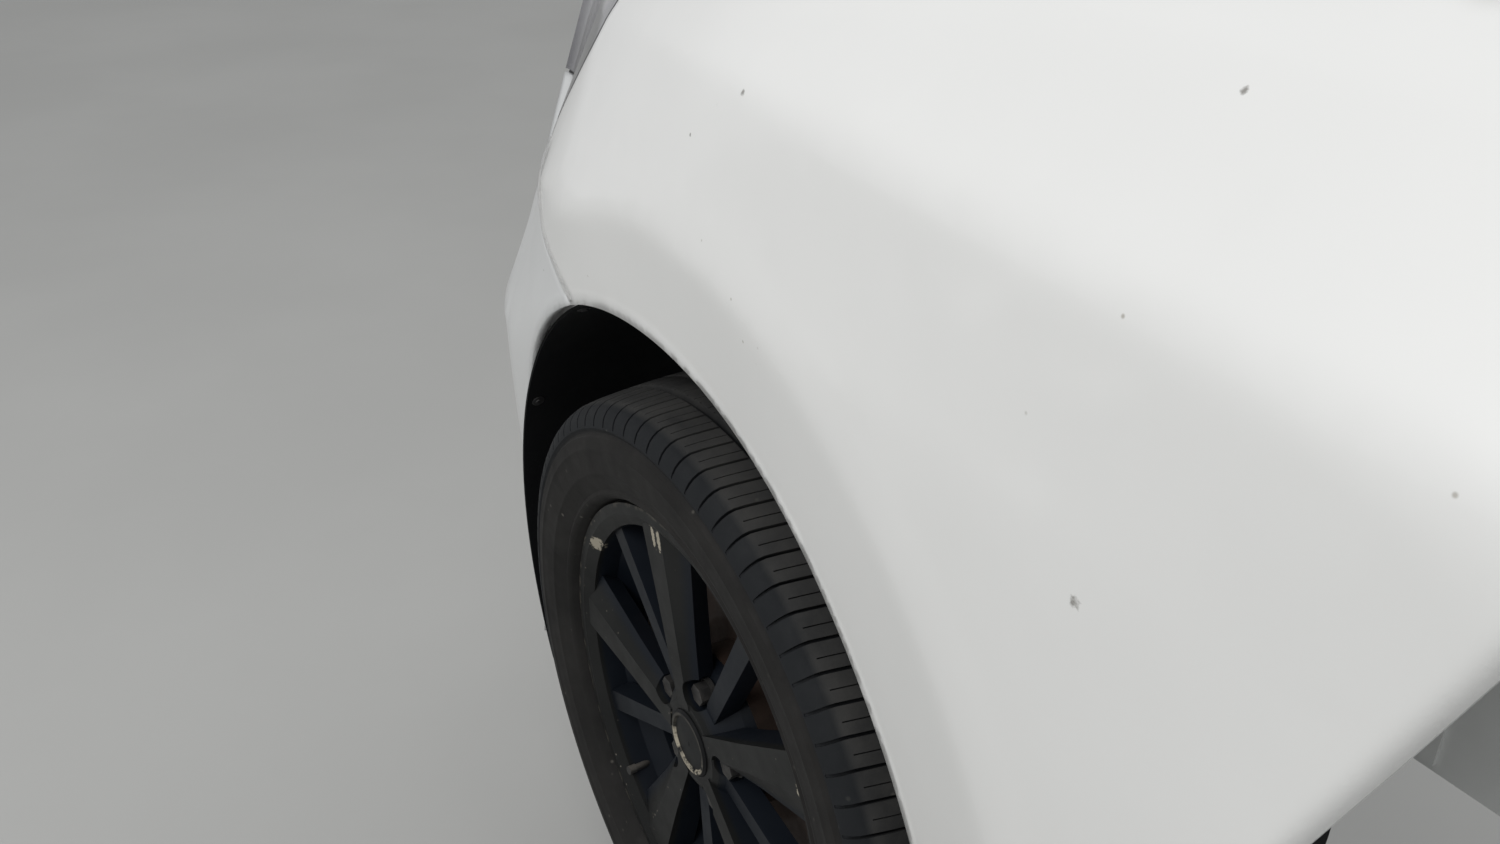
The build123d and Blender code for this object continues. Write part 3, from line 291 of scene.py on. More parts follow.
@dataclass(frozen=True)
class Finish:
    """One finish: its colours, gloss, grain, wear and dust."""

    name: str
    dark: Colour
    light: Colour
    mottle: float = 7.0
    metallic: float = 0.0
    rough: Spot = (0.4, 0.5)
    coat: float = 0.0
    coat_rough: float = 0.05
    grain: float = 900.0
    broad: float = 0.5
    depth: float = 0.05
    reach: float = 0.0005
    chips: float = 0.0
    chip_scale: float = 260.0
    chip_colour: Colour = (0.3, 0.3, 0.3)
    dust: float = 0.0
    dust_facing: float = 0.0
    dust_colour: Colour = (0.30, 0.27, 0.23)
    dust_rough: float = 0.85
    soft: float = 0.0
    specular: float = 0.5

    def base(self, nodes: Nodes) -> tuple[Socket, Socket]:
        """Lays out the colour and roughness.

        Args:
            nodes: The material's nodes.

        Returns:
            The sockets of the colour and of the roughness.
        """
        tones = Effects.mottle.use(nodes, Dark=self.dark, Light=self.light, Scale=self.mottle)
        colour = tones["Colour"]
        rough = nodes.span(noise(nodes, self.mottle * 3.1, 5.0), 0.3, 0.7, *self.rough)
        if self.chips:
            mask = Effects.specks.use(nodes, Scale=self.chip_scale, Amount=self.chips)["Mask"]
            colour = nodes.blend(mask, colour, self.chip_colour)
        return colour, rough

    def dusted(self, nodes: Nodes, colour: object, rough: object) -> tuple[object, object]:
        """Lays dust over a colour and a roughness, and gives both."""
        if not self.dust:
            return colour, rough
        mask = nodes.times(Effects.dust.use(nodes, Facing=self.dust_facing)["Mask"], self.dust)
        matte = nodes.math("MAXIMUM", rough, nodes.times(mask, self.dust_rough))
        return nodes.blend(mask, colour, self.dust_colour), matte

    def relief(self, nodes: Nodes) -> Socket:
        """Gives the normal of the finish's grain."""
        height = Effects.grain.use(nodes, Scale=self.grain, Broad=self.broad)["Height"]
        bump = nodes.add("ShaderNodeBump", {"Strength": self.depth, "Distance": self.reach, "Height": height})
        if self.soft:
            edge = nodes.add("ShaderNodeBevel", {"Radius": self.soft * MM}, samples=8)
            nodes.feed(bump.inputs["Normal"], edge.outputs[0])
        return bump.outputs[0]

    def shader(self, nodes: Nodes, colour: object, rough: object, normal: object) -> bpy.types.Node:
        """Adds the surface shader and the output, and gives the shader."""
        surface = nodes.add("ShaderNodeBsdfPrincipled", {
            "Base Color": colour, "Roughness": rough, "Normal": normal, "Metallic": self.metallic,
            "Coat Weight": self.coat, "Coat Roughness": self.coat_rough, "Specular IOR Level": self.specular,
        })
        nodes.add("ShaderNodeOutputMaterial", {"Surface": surface.outputs[0]})
        return surface

    def wear_and_painted_light(self, nodes: Nodes, colour: Socket) -> Socket:
        """Adds the marks that only this kind of finish has, which on the wheel and its cap include a painted
        sheen and a painted highlight.

        Args:
            nodes: The material's nodes.
            colour: The colour before them.

        Returns:
            The colour with them.
        """
        return colour

    def make(self) -> bpy.types.Material:
        """Makes the material of this finish."""
        material, nodes = new_material(self.name)
        colour, rough = self.base(nodes)
        colour, rough = self.dusted(nodes, self.wear_and_painted_light(nodes, colour), rough)
        self.shader(nodes, colour, rough, self.relief(nodes))
        return material


@dataclass(frozen=True)
class PaintFinish(Finish):
    """White paint under clear lacquer, greyer towards the bottom in patches, with a few dark marks."""

    patchy_layer: Colour = (0.56, 0.55, 0.51)
    lower_share: float = 0.42
    lower_heights: Spot = (430.0, -60.0)
    marks: Marks = ()
    mark_colour: Colour = (0.17, 0.16, 0.14)
    mark_share: float = 0.82

    def wear_and_painted_light(self, nodes: Nodes, colour: Socket) -> Socket:
        """Adds the greyer patches towards the bottom and the dark marks."""
        # Greyer towards the bottom: the share grows from 430 mm above the wheel's middle down to 60 mm below
        # it
        low = nodes.span(Effects.wheel_place.use(nodes)["Up"], *self.lower_heights, smooth=True)
        patch = nodes.span(noise(nodes, 5.0, 7.0, 0.6), 0.25, 0.75, 0.25, 1.0)
        colour = nodes.blend(nodes.times(low, patch, self.lower_share), colour, self.patchy_layer)
        for x, y, z, size in self.marks:
            reach = size * MM
            gap = nodes.add("ShaderNodeVectorMath", {0: object_place(nodes), 1: tuple(at(x, y, z))},
                            operation="DISTANCE").outputs["Value"]
            ragged = nodes.math("ADD", gap, nodes.span(noise(nodes, 420.0, 2.0), 0.3, 0.7, 0.0, reach * 0.5))
            spot = nodes.span(ragged, reach * 0.55, reach * 1.05, 1.0, 0.0)
            colour = nodes.blend(nodes.times(spot, self.mark_share), colour, self.mark_colour)
        return colour


@dataclass(frozen=True)
class TyreFinish(Finish):
    """Rubber: a dusty grey-brown running face, blue-black shoulders, a brown-black wall."""

    tread_colour: Colour = (0.047, 0.046, 0.044)
    tread_radii: Spot = (307.0, 310.2)
    shoulder_colour: Colour = (0.0105, 0.0120, 0.0140)
    shoulder_radii: Spot = (284.0, 291.0)
    grit_colour: Colour = (0.17, 0.16, 0.14)
    grit_scale: float = 85.0
    grit_amount: float = 0.22
    grit_share: float = 0.55

    def wear_and_painted_light(self, nodes: Nodes, colour: Socket) -> Socket:
        """Adds the shoulder's tone, the running face and pale grit."""
        radius = Effects.wheel_place.use(nodes)["Radius"]
        shoulder = nodes.span(radius, *self.shoulder_radii, smooth=True)
        colour = nodes.blend(shoulder, colour, self.shoulder_colour)
        crown = nodes.span(radius, *self.tread_radii, smooth=True)
        patch = nodes.span(noise(nodes, 26.0, 6.0, 0.65), 0.3, 0.66, 0.35, 1.0)
        colour = nodes.blend(nodes.times(crown, patch), colour, self.tread_colour)
        grit = Effects.specks.use(nodes, Scale=self.grit_scale, Amount=self.grit_amount)["Mask"]
        return nodes.blend(nodes.times(grit, self.grit_share), colour, self.grit_colour)


def wear_and_highlight_side(nodes: Nodes, angle: object, middle: float, ends: Spot, least: float) -> Socket:
    """Gives a ring's share at an angle: fully near the middle angle, and least beyond the far end. It places
    both the rim's scraped wear and the cap's painted highlight.
    """
    away = nodes.math("ABSOLUTE", nodes.math("SUBTRACT", angle, middle))
    return nodes.span(away, *ends, 1.0, least)


@dataclass(frozen=True)
class WheelFinish(Finish):
    """Dark grey wheel paint with a painted bluish sheen on the spokes' deep flanks, a scraped rim edge and
    scuffs down to bare metal.
    """

    bare: Colour = (0.42, 0.38, 0.30)
    # Painted bluish sheen: a reflection laid as colour on the deep flanks between the spokes
    flank_sheen: Colour = (0.0065, 0.0090, 0.0135)
    flank_sheen_depths: Spot = (-81.0, -77.0)
    flank_sheen_radii: Spot = (206.0, 203.0)
    edge_radii: Spot = (216.0, 218.8)
    edge_depths: Spot = (-84.0, -87.0)
    edge_side: tuple[float, Spot, float] = (42.0, (30.0, 62.0), 0.12)
    scuff_depths: Spot = (-76.0, -80.0)
    scuff_share: float = 0.85
    scuffs: Marks = (
        (101.0, 195.0, 0.9, 11.0), (103.8, 196.0, 0.9, 11.0), (147.0, 205.0, 3.0, 6.0),
        (46.0, 203.0, 1.6, 4.0), (28.0, 205.0, 2.0, 3.5),
    )

    def wear_and_painted_light(self, nodes: Nodes, colour: Socket) -> Socket:
        """Adds the painted bluish sheen on the flanks between the spokes, the scraped edge and the scuffs."""
        place = Effects.wheel_place.use(nodes)
        radius, angle, depth = place["Radius"], place["Angle"], place["Depth"]
        # Painted sheen: faces deep inside the spoke circle take the bluish colour
        deep = nodes.times(nodes.span(depth, *self.flank_sheen_depths), nodes.span(radius, *self.flank_sheen_radii))
        colour = nodes.blend(deep, colour, self.flank_sheen)
        edge = nodes.times(nodes.span(radius, *self.edge_radii), nodes.span(depth, *self.edge_depths))
        ragged = nodes.span(noise(nodes, 60.0, 7.0, 0.75), 0.50, 0.56)
        scraped = nodes.times(edge, ragged, wear_and_highlight_side(nodes, angle, *self.edge_side))
        colour = nodes.blend(scraped, colour, self.bare)
        tatter = nodes.span(noise(nodes, 260.0, 4.0, 0.7), 0.35, 0.65, -0.6, 0.6)
        for middle, height, half_turn, half_height in self.scuffs:
            across = nodes.math("DIVIDE", nodes.math("SUBTRACT", angle, middle), half_turn)
            along = nodes.math("DIVIDE", nodes.math("SUBTRACT", radius, height), half_height)
            out = nodes.math("ADD", nodes.times(across, across), nodes.times(along, along))
            mark = nodes.times(nodes.span(nodes.math("ADD", out, tatter), 0.7, 1.1, 1.0, 0.0),
                               nodes.span(depth, *self.scuff_depths), self.scuff_share)
            colour = nodes.blend(mark, colour, self.bare)
        return colour


@dataclass(frozen=True)
class CapFinish(Finish):
    """Dark cap with a painted highlight: a pale ring near its edge, on one side."""

    # Painted highlight: the ring's pale colour stands in for the light on the cap's edge
    ring: Colour = (0.42, 0.38, 0.30)
    highlight_radius: float = 26.5
    highlight_widths: Spot = (1.4, 2.4)
    highlight_side: tuple[float, Spot, float] = (-105.0, (60.0, 110.0), 0.10)

    def wear_and_painted_light(self, nodes: Nodes, colour: Socket) -> Socket:
        """Adds the pale ring, a painted highlight of the cap's edge."""
        place = Effects.wheel_place.use(nodes)
        away = nodes.math("ABSOLUTE", nodes.math("SUBTRACT", place["Radius"], self.highlight_radius))
        patch = nodes.span(noise(nodes, 75.0, 5.0, 0.7), 0.38, 0.52)
        mask = nodes.times(nodes.span(away, *self.highlight_widths, 1.0, 0.0), patch,
                           wear_and_highlight_side(nodes, place["Angle"], *self.highlight_side))
        return nodes.blend(mask, colour, self.ring)


@dataclass(frozen=True)
class DiscFinish(Finish):
    """Rusty iron with a swept ring where the pads run, its colours darkened as painted shade from the wheel
    in front of it.
    """

    # Partly painted shade: the swept ring's colour is darkened for the shade inside the wheel
    swept: Colour = (0.095, 0.080, 0.074)
    inner_radii: Spot = (92.0, 96.0)
    outer_radii: Spot = (137.5, 135.5)
    line_pace: float = 5.5
    line_share: float = 0.04

    def wear_and_painted_light(self, nodes: Nodes, colour: Socket) -> Socket:
        """Adds the swept ring with its fine lines."""
        radius = Effects.wheel_place.use(nodes)["Radius"]
        lines = nodes.times(nodes.math("SINE", nodes.times(radius, self.line_pace)), self.line_share)
        patchy_layer = nodes.span(nodes.math("ADD", noise(nodes, 3.0, 2.0), lines), 0.35, 0.6, 0.35, 0.85)
        inner, outer = (nodes.span(radius, *radii) for radii in (self.inner_radii, self.outer_radii))
        return nodes.blend(nodes.times(inner, outer, patchy_layer), colour, self.swept)


@dataclass(frozen=True)
class GlassFinish(Finish):
    """Clear lamp plastic with a faint haze."""

    clear: float = 0.72
    index: float = 1.45

    def shader(self, nodes: Nodes, colour: object, rough: object, normal: object) -> bpy.types.Node:
        """Adds the surface shader that light passes through, and gives it."""
        surface = super().shader(nodes, colour, rough, normal)
        surface.inputs["Transmission Weight"].default_value = self.clear
        surface.inputs["IOR"].default_value = self.index
        return surface


# Dark marks in the paint: place and size in millimetres
SPECK_MARKS = (
    (451.2, -130.0, 461.4, 4.6), (441.0, -70.7, 660.1, 2.3), (122.8, -95.6, 595.8, 3.2),
    (62.2, -97.9, 556.8, 1.8),
)

FINISH_LIST = (
    PaintFinish("white_paint", (0.79, 0.79, 0.775), (0.83, 0.83, 0.815), mottle=2.0, rough=(0.36, 0.42),
        coat=0.55, coat_rough=0.12, grain=190.0, depth=0.012, chips=0.012, chip_scale=150.0,
        chip_colour=(0.45, 0.43, 0.39), marks=SPECK_MARKS, soft=16.0),
    PaintFinish("bumper_paint", (0.68, 0.69, 0.69), (0.72, 0.73, 0.73), mottle=2.5, rough=(0.38, 0.45),
        coat=0.5, coat_rough=0.14, grain=160.0, depth=0.016, chips=0.02, chip_scale=150.0,
        chip_colour=(0.38, 0.37, 0.34), soft=14.0),
    GlassFinish("clear_lens", (0.24, 0.235, 0.26), (0.31, 0.30, 0.33), rough=(0.08, 0.14), depth=0.004),
    Finish("black_plastic", (0.011, 0.011, 0.012), (0.02, 0.02, 0.021), rough=(0.5, 0.65), grain=1200.0,
        depth=0.16, dust=0.35),
    Finish("chrome_plastic", (0.70, 0.70, 0.71), (0.78, 0.78, 0.79), metallic=1.0, rough=(0.08, 0.16),
        depth=0.01),
    Finish("liner_plastic", (0.0022, 0.0026, 0.0034), (0.0045, 0.0050, 0.0058), mottle=9.0,
        rough=(0.82, 0.94), grain=700.0, depth=0.35, reach=0.001, dust=0.04, specular=0.18, chips=0.04,
        chip_scale=130.0, chip_colour=(0.03, 0.028, 0.025)),
    Finish("body_steel", (0.50, 0.51, 0.50), (0.60, 0.61, 0.60), mottle=4.0, rough=(0.42, 0.55), coat=0.2,
        coat_rough=0.3, grain=260.0, depth=0.04, chips=0.03, chip_colour=(0.22, 0.14, 0.08), dust=0.55,
        dust_facing=0.1),
    Finish("black_steel", (0.018, 0.018, 0.019), (0.035, 0.033, 0.031), mottle=9.0, rough=(0.42, 0.62),
        grain=420.0, depth=0.10, chips=0.14, chip_scale=120.0, chip_colour=(0.14, 0.062, 0.028), dust=0.45),
    Finish("rubber", (0.013, 0.013, 0.013), (0.026, 0.025, 0.024), rough=(0.62, 0.8), depth=0.10,
        dust=0.4),
    Finish("cast_iron", (0.075, 0.050, 0.036), (0.155, 0.125, 0.10), mottle=16.0, metallic=0.35,
        rough=(0.6, 0.85), grain=420.0, depth=0.45, reach=0.001, chips=0.2, chip_scale=90.0,
        chip_colour=(0.20, 0.085, 0.035), dust=0.35),
    Finish("spring_steel", (0.016, 0.016, 0.018), (0.03, 0.03, 0.033), mottle=12.0, coat=0.2,
        coat_rough=0.3, rough=(0.38, 0.5), grain=500.0, depth=0.06, chips=0.12, chip_scale=110.0,
        chip_colour=(0.17, 0.07, 0.03), dust=0.3),
    Finish("zinc_steel", (0.34, 0.33, 0.31), (0.46, 0.45, 0.43), mottle=14.0, metallic=0.85,
        rough=(0.34, 0.55), grain=600.0, depth=0.08, chips=0.15, chip_scale=140.0,
        chip_colour=(0.21, 0.10, 0.045), dust=0.3),
    Finish("pad_lining", (0.045, 0.040, 0.037), (0.075, 0.068, 0.062), mottle=40.0, rough=(0.8, 0.95),
        grain=1200.0, depth=0.3, chips=0.3, chip_scale=400.0, chip_colour=(0.16, 0.12, 0.08)),
    # The disc's rust colours are darkened as painted shade inside the wheel
    DiscFinish("rusty_disc", (0.022, 0.014, 0.010), (0.048, 0.028, 0.019), mottle=22.0, metallic=0.2,
        rough=(0.6, 0.85), grain=500.0, depth=0.25),
    WheelFinish("wheel_paint", (0.0085, 0.0090, 0.0088), (0.0125, 0.0130, 0.0126), mottle=11.0,
        rough=(0.42, 0.54), coat=0.03, coat_rough=0.25, grain=420.0, depth=0.05, chips=0.10,
        chip_scale=170.0, chip_colour=(0.20, 0.18, 0.15), specular=0.14, dust=0.05, dust_facing=-0.4,
        dust_colour=(0.055, 0.055, 0.055)),
    TyreFinish("tyre", (0.0105, 0.0100, 0.0095), (0.0165, 0.0155, 0.0145), mottle=14.0, rough=(0.70, 0.86),
        specular=0.25, grain=650.0, depth=0.12, dust=0.12, dust_facing=-0.2,
        dust_colour=(0.070, 0.066, 0.060)),
    CapFinish("cap_plastic", (0.0075, 0.0080, 0.0085), (0.012, 0.0125, 0.013), rough=(0.42, 0.55),
        grain=500.0, depth=0.06, specular=0.12),
    Finish("bolt_steel", (0.045, 0.044, 0.043), (0.095, 0.090, 0.085), mottle=60.0, metallic=0.7,
        rough=(0.45, 0.65), depth=0.10, chips=0.3, chip_scale=300.0, chip_colour=(0.18, 0.09, 0.045)),
    Finish("shaft_steel", (0.022, 0.022, 0.023), (0.05, 0.046, 0.043), mottle=18.0, metallic=0.4,
        rough=(0.45, 0.65), grain=500.0, depth=0.12, chips=0.25, chip_scale=140.0,
        chip_colour=(0.15, 0.07, 0.035), dust=0.3),
)
FINISHES: dict[str, Finish] = {finish.name: finish for finish in FINISH_LIST}


@cache
def finish_of(slot: str) -> bpy.types.Material:
    """Makes the material of a slot the first time, and gives it."""
    return FINISHES[slot].make()


def dress_nodes() -> None:
    """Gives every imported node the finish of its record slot."""
    for part in frame["record"]["subparts"]:
        node = frame["nodes"][part["node"]]
        node.data.materials.clear()
        node.data.materials.append(finish_of(part["material_slot"]))
        log.info("dressed %s in %s", part["node"], part["material_slot"])


# ---- mesh tools ----


def keep(bm: BMesh, name: str, body: Body, slot: str, angle: float = 32.0,
         replaces: Sequence[str] = ()) -> None:
    """Turns a finished bmesh into a piece of the object.

    Args:
        bm: The mesh, in place in metres. It is freed.
        name: The piece's name.
        body: The group that it moves with.
        slot: The record slot whose finish it takes.
        angle: Edges sharper than this many degrees stay sharp.
        replaces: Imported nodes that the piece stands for.
    """
    mesh = bpy.data.meshes.new(name)
    bm.to_mesh(mesh)
    bm.free()
    mesh.shade_smooth()
    mesh.set_sharp_from_angle(angle=math.radians(angle))
    mesh.materials.append(finish_of(slot))
    piece = placed(name, mesh)
    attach(piece, body.value)
    if replaces:
        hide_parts(*replaces)
    log.info("made %s: %d faces", name, len(mesh.polygons))


def profile(bm: BMesh, points: Iterable[Vector]) -> list:
    """Draws a closed line of edges through points.

    Args:
        bm: The mesh to draw in.
        points: The places of the line's corners.

    Returns:
        The new vertices and edges.
    """
    verts = [bm.verts.new(point) for point in points]
    pairs = [*zip(verts, verts[1:]), (verts[-1], verts[0])]
    return verts + [bm.edges.new(pair) for pair in pairs]


def turned(points: Sequence[Spot], steps: int, start: Vector, axis: Vector) -> BMesh:
    """Turns a closed outline a full circle around an axis.

    Args:
        points: Radius and distance along the axis, in millimetres.
        steps: Number of segments.
        start: A point on the axis, in metres.
        axis: The axis' direction.

    Returns:
        The turned mesh, with its faces outwards.
    """
    bm = bmesh.new()
    along = axis.normalized()
    side = along.orthogonal().normalized()
    line = profile(bm, [start + side * (r * MM) + along * (d * MM) for r, d in points])
    bmesh.ops.spin(bm, geom=line, cent=start, axis=along, angle=math.tau, steps=steps, use_merge=True)
    bmesh.ops.remove_doubles(bm, verts=bm.verts, dist=1e-6)
    bmesh.ops.recalc_face_normals(bm, faces=bm.faces)
    return bm


def facing(direction: Vector) -> Matrix:
    """Gives the turn that brings local Z onto a direction."""
    return direction.to_track_quat("Z", "Y").to_matrix().to_4x4()


def swept(bm: BMesh, path: Sequence[Vector], radius: float, corners: int = 8) -> None:
    """Draws a round bar along a path, with closed ends.

    Args:
        bm: The mesh that takes the bar.
        path: Points of its middle line, in metres.
        radius: Its radius in millimetres.
        corners: Number of sides.
    """
    heading = facing(path[1] - path[0])
    before = path[1] - path[0]
    rings = []
    for number, spot in enumerate(path):
        ahead = path[min(number + 1, len(path) - 1)] - path[max(number - 1, 0)]
        heading = before.rotation_difference(ahead).to_matrix().to_4x4() @ heading
        before = ahead
        made = bmesh.ops.create_circle(bm, cap_ends=number in (0, len(path) - 1), segments=corners,
                                       radius=radius * MM, matrix=Matrix.Translation(spot) @ heading)
        rings.append(made["verts"])
    for pair in zip(rings, rings[1:]):
        loops = []
        for ring in pair:
            touching = {edge for vert in ring for edge in vert.link_edges}
            loops += [edge for edge in touching if edge.verts[0] in ring and edge.verts[1] in ring]
        bmesh.ops.bridge_loops(bm, edges=loops)
    bmesh.ops.recalc_face_normals(bm, faces=bm.faces)


# ---- outer panels ----


def packed_tree(nodes: Sequence[str], most: float = 2.0) -> BVHTree:
    """Gathers packed faces, to find places on them.

    Args:
        nodes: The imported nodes' names.
        most: Only faces whose normal's Y is below this are taken, so 2 takes all.

    Returns:
        The search tree.
    """
    verts, faces = [], []
    for mesh in (frame["nodes"][name].data for name in nodes):
        start = len(verts)
        verts += [vert.co.copy() for vert in mesh.vertices]
        faces += [[start + index for index in face.vertices]
                  for face in mesh.polygons if face.normal.y < most]
    return BVHTree.FromPolygons(verts, faces)


@dataclass
class Skin:
    """The outer skin of wing and bumper, with the flare's edge pressed soft.

    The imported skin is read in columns, one for each angle around the arch. A column's first rows run from
    the lip to the flare's edge, and the others from the edge outwards. All lengths are millimetres.

    Attributes:
        lip, lip_margin: The radius of the arch's lip, and how far from it the skin stays as it is.
        sheet, flange: The thickness up to the sheet's back, and the depth from which a face is a flange.
        outward: Faces whose normal's Y is below this look outwards.
        turns, inner_rows, outer_rows: The columns' angles, and the rows on each side of the flare's edge.
        margin, pace: The rows' distance from the lip and the edge, and between outer rows.
        stray, evenings: A reading this far from its neighbours is left out. How often rows are evened.
        lift_limits: How far the fold is brought to its edge at most, outboard and inboard.
        fade, spread, spread_ease, samples: How far from the edge the skin moves, and how it is averaged.
        lip_ease, fade_ease, foot_ease, front_ease: Over what width the move starts at each border.
        coarse, cuts: The length that the mesh's edges are cut to, and the rounds of cuts.
    """

    arch_x: float = -4.0
    arch_z: float = 25.0
    lip: float = 370.0
    sheet: float = 3.2
    flange: float = 6.0
    outward: float = -0.1
    ray_start: float = -400.0
    turns: range = range(-24, 208, 2)
    inner_rows: int = 12
    outer_rows: int = 22
    margin: float = 2.0
    pace: float = 3.0
    stray: float = 6.0
    evenings: int = 3
    lift_limits: Spot = (-14.0, 8.0)
    fade: float = 42.0
    spread: float = 7.0
    samples: tuple[int, float] = (4, 0.6)
    spread_ease: float = 12.0
    lip_margin: float = 3.0
    lip_ease: float = 10.0
    fade_ease: float = 14.0
    foot_ease: float = 30.0
    front_ease: float = 10.0
    coarse: float = 9.0
    cuts: int = 6
    foot: float = -190.0
    front_end: float = 200.0
    edge_pace: float = 9.0
    edge_radius: float = 2.0
    edge_start: float = 1.0
    edge_side: float = 6.0
    edge_offset: Spot = (1.2, 0.3)
    seam: tuple[Spot, ...] = ((-148.0, 290.0), (-150.0, 368.0), (-208.0, 404.0), (-302.0, 474.0))
    flare_edge: tuple[Spot, ...] = (
        (-40.0, 503.0), (-16.0, 501.5), (-8.0, 496.5), (0.0, 489.0), (8.0, 478.0), (14.0, 480.0),
        (20.0, 488.0), (28.0, 491.5), (40.0, 495.0), (48.0, 494.5), (56.0, 491.5), (64.0, 486.5),
        (72.0, 479.5), (80.0, 469.0), (88.0, 462.5), (96.0, 454.0), (104.0, 446.0), (112.0, 438.5),
        (120.0, 431.5), (134.0, 428.0), (148.0, 428.0), (178.0, 430.0), (222.0, 430.0),
    )

    def __post_init__(self) -> None:
        """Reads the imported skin, and brings the fold up to its edge."""
        self.tree = packed_tree(("wing", "bumper_corner"), self.outward)
        self.table = self.evened([self.column(turn) for turn in self.turns])
        self.steps = [self.step(column, turn) for column, turn in zip(self.table, self.turns)]
        for number, column in enumerate(self.table):
            near = self.steps[max(0, number - 2):number + 3]
            for row in range(self.inner_rows + 1):
                column[row] += sum(near) / len(near) * row / self.inner_rows

    def polar(self, x: float, z: float) -> Spot:
        """Gives a point's distance from the arch's middle and its angle from the back."""
        away, above = x - self.arch_x, z - self.arch_z
        turn = math.degrees(math.atan2(above, away))
        return math.hypot(away, above), turn + 360.0 if turn < -90.0 else turn

    def flare(self, turn: float) -> float:
        """Gives the radius of the flare's edge at an angle."""
        for (low, first), (high, second) in zip(self.flare_edge, self.flare_edge[1:]):
            if turn <= high:
                return first + (second - first) * max(0.0, turn - low) / (high - low)
        return self.flare_edge[-1][1]

    def width(self, turn: float) -> float:
        """Gives the length of a column's inner rows."""
        return self.flare(turn) - self.lip - 2 * self.margin

    def spot_in(self, turn: float) -> float:
        """Gives an angle's place in the table, in columns."""
        return (turn - self.turns[0]) / self.turns.step

    def raw(self, x: float, z: float) -> float | None:
        """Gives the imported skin's place inboard of the wheel's middle, or None beside it."""
        spot = self.tree.ray_cast(at(x, self.ray_start, z), INBOARD)[0]
        return None if spot is None else (spot.y - WHEEL_MIDDLE.y) / MM

    def column(self, turn: float) -> list[float | None]:
        """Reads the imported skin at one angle, from the lip across the flare's edge."""
        angle = math.radians(turn)
        radii = [self.lip + self.margin + self.width(turn) * row / self.inner_rows
                 for row in range(self.inner_rows + 1)]
        radii += [self.flare(turn) + self.margin + self.pace * row for row in range(self.outer_rows)]
        return [self.raw(self.arch_x + radius * math.cos(angle), self.arch_z + radius * math.sin(angle))
                for radius in radii]

    def evened(self, table: list[list[float | None]]) -> list[list[float]]:
        """Bridges the seam and other gaps of the rows along the flare, and evens the rows.

        Args:
            table: The columns as read, with None where there is no skin.

        Returns:
            The columns without gaps.
        """
        rows = []
        for row in zip(*table):
            known = []
            for number, value in enumerate(row):
                near = sorted(other for other in row[max(0, number - 3):number + 4] if other is not None)
                if value is not None and abs(value - near[len(near) // 2]) < self.stray:
                    known.append((number, value))
            values = []
            for number in range(len(row)):
                before = max((pair for pair in known if pair[0] <= number), default=known[0])
                after = min((pair for pair in known if pair[0] >= number), default=known[-1])
                share = (number - before[0]) / (after[0] - before[0]) if after[0] > before[0] else 0.0
                values.append(before[1] + (after[1] - before[1]) * share)
            for _ in range(self.evenings):
                ends = [values[0], *values, values[-1]]
                threes = zip(ends, values, ends[2:])
                values = [(low + 2 * middle + high) / 4 for low, middle, high in threes]
            rows.append(values)
        return [list(column) for column in zip(*rows)]

    def step(self, column: list[float], turn: float) -> float:
        """Gives how far the fold's outer edge lies from the skin around it."""
        before, rim, around, after = column[self.inner_rows - 1:self.inner_rows + 3]
        rim += (rim - before) * self.margin / (self.width(turn) / self.inner_rows)
        around -= (after - around) * self.margin / self.pace
        return clamped(around - rim, *self.lift_limits)

    def along(self, column: list[float], turn: float, gap: float) -> float:
        """Gives one column's height at a distance from the flare's edge."""
        if gap < -self.margin:
            width = self.width(turn)
            place = (gap + self.margin + width) / width * self.inner_rows
        elif gap < self.margin:
            place = self.inner_rows + (gap + self.margin) / (2 * self.margin)
        else:
            place = self.inner_rows + 1 + (gap - self.margin) / self.pace
        place = clamped(place, 0.0, len(column) - 1.001)
        low = int(place)
        return column[low] + (column[low + 1] - column[low]) * (place - low)

    def height(self, turn: float, gap: float) -> float:
        """Gives the soft skin's place, averaged across the flare's edge.

        Args:
            turn: The angle around the arch.
            gap: The distance outwards from the flare's edge.

        Returns:
            The place inboard of the wheel's middle.
        """
        place = clamped(self.spot_in(turn), 0.0, len(self.table) - 1.001)
        low = int(place)
        spread = self.spread * clamped((self.fade - abs(gap)) / self.spread_ease)
        total, weight = 0.0, 0.0
        count, apart = self.samples
        for number in range(-count, count + 1):
            shift = number * apart
            share = math.exp(-0.5 * shift ** 2)
            first, second = (self.along(self.table[side], self.turns[side], gap + shift * spread)
                             for side in (low, low + 1))
            total += (first + (second - first) * (place - low)) * share
            weight += share
        return total / weight

    def refine(self, bm: BMesh) -> None:
        """Cuts long edges near the flare until they are short."""
        for _ in range(self.cuts):
            long = []
            for edge in (edge for edge in bm.edges if edge.calc_length() >= self.coarse * MM):
                first, second = (vert.co for vert in edge.verts)
                for share in (0.0, 0.25, 0.5, 0.75, 1.0):
                    spot = (first.lerp(second, share) - WHEEL_MIDDLE) / MM
                    radius, turn = self.polar(spot.x, spot.z)
                    if self.lip < radius < self.flare(turn) + self.fade and spot.z > self.foot:
                        long.append(edge)
                        break
            bmesh.ops.subdivide_edges(bm, edges=long, cuts=1)
            bmesh.ops.triangulate(bm, faces=bm.faces)

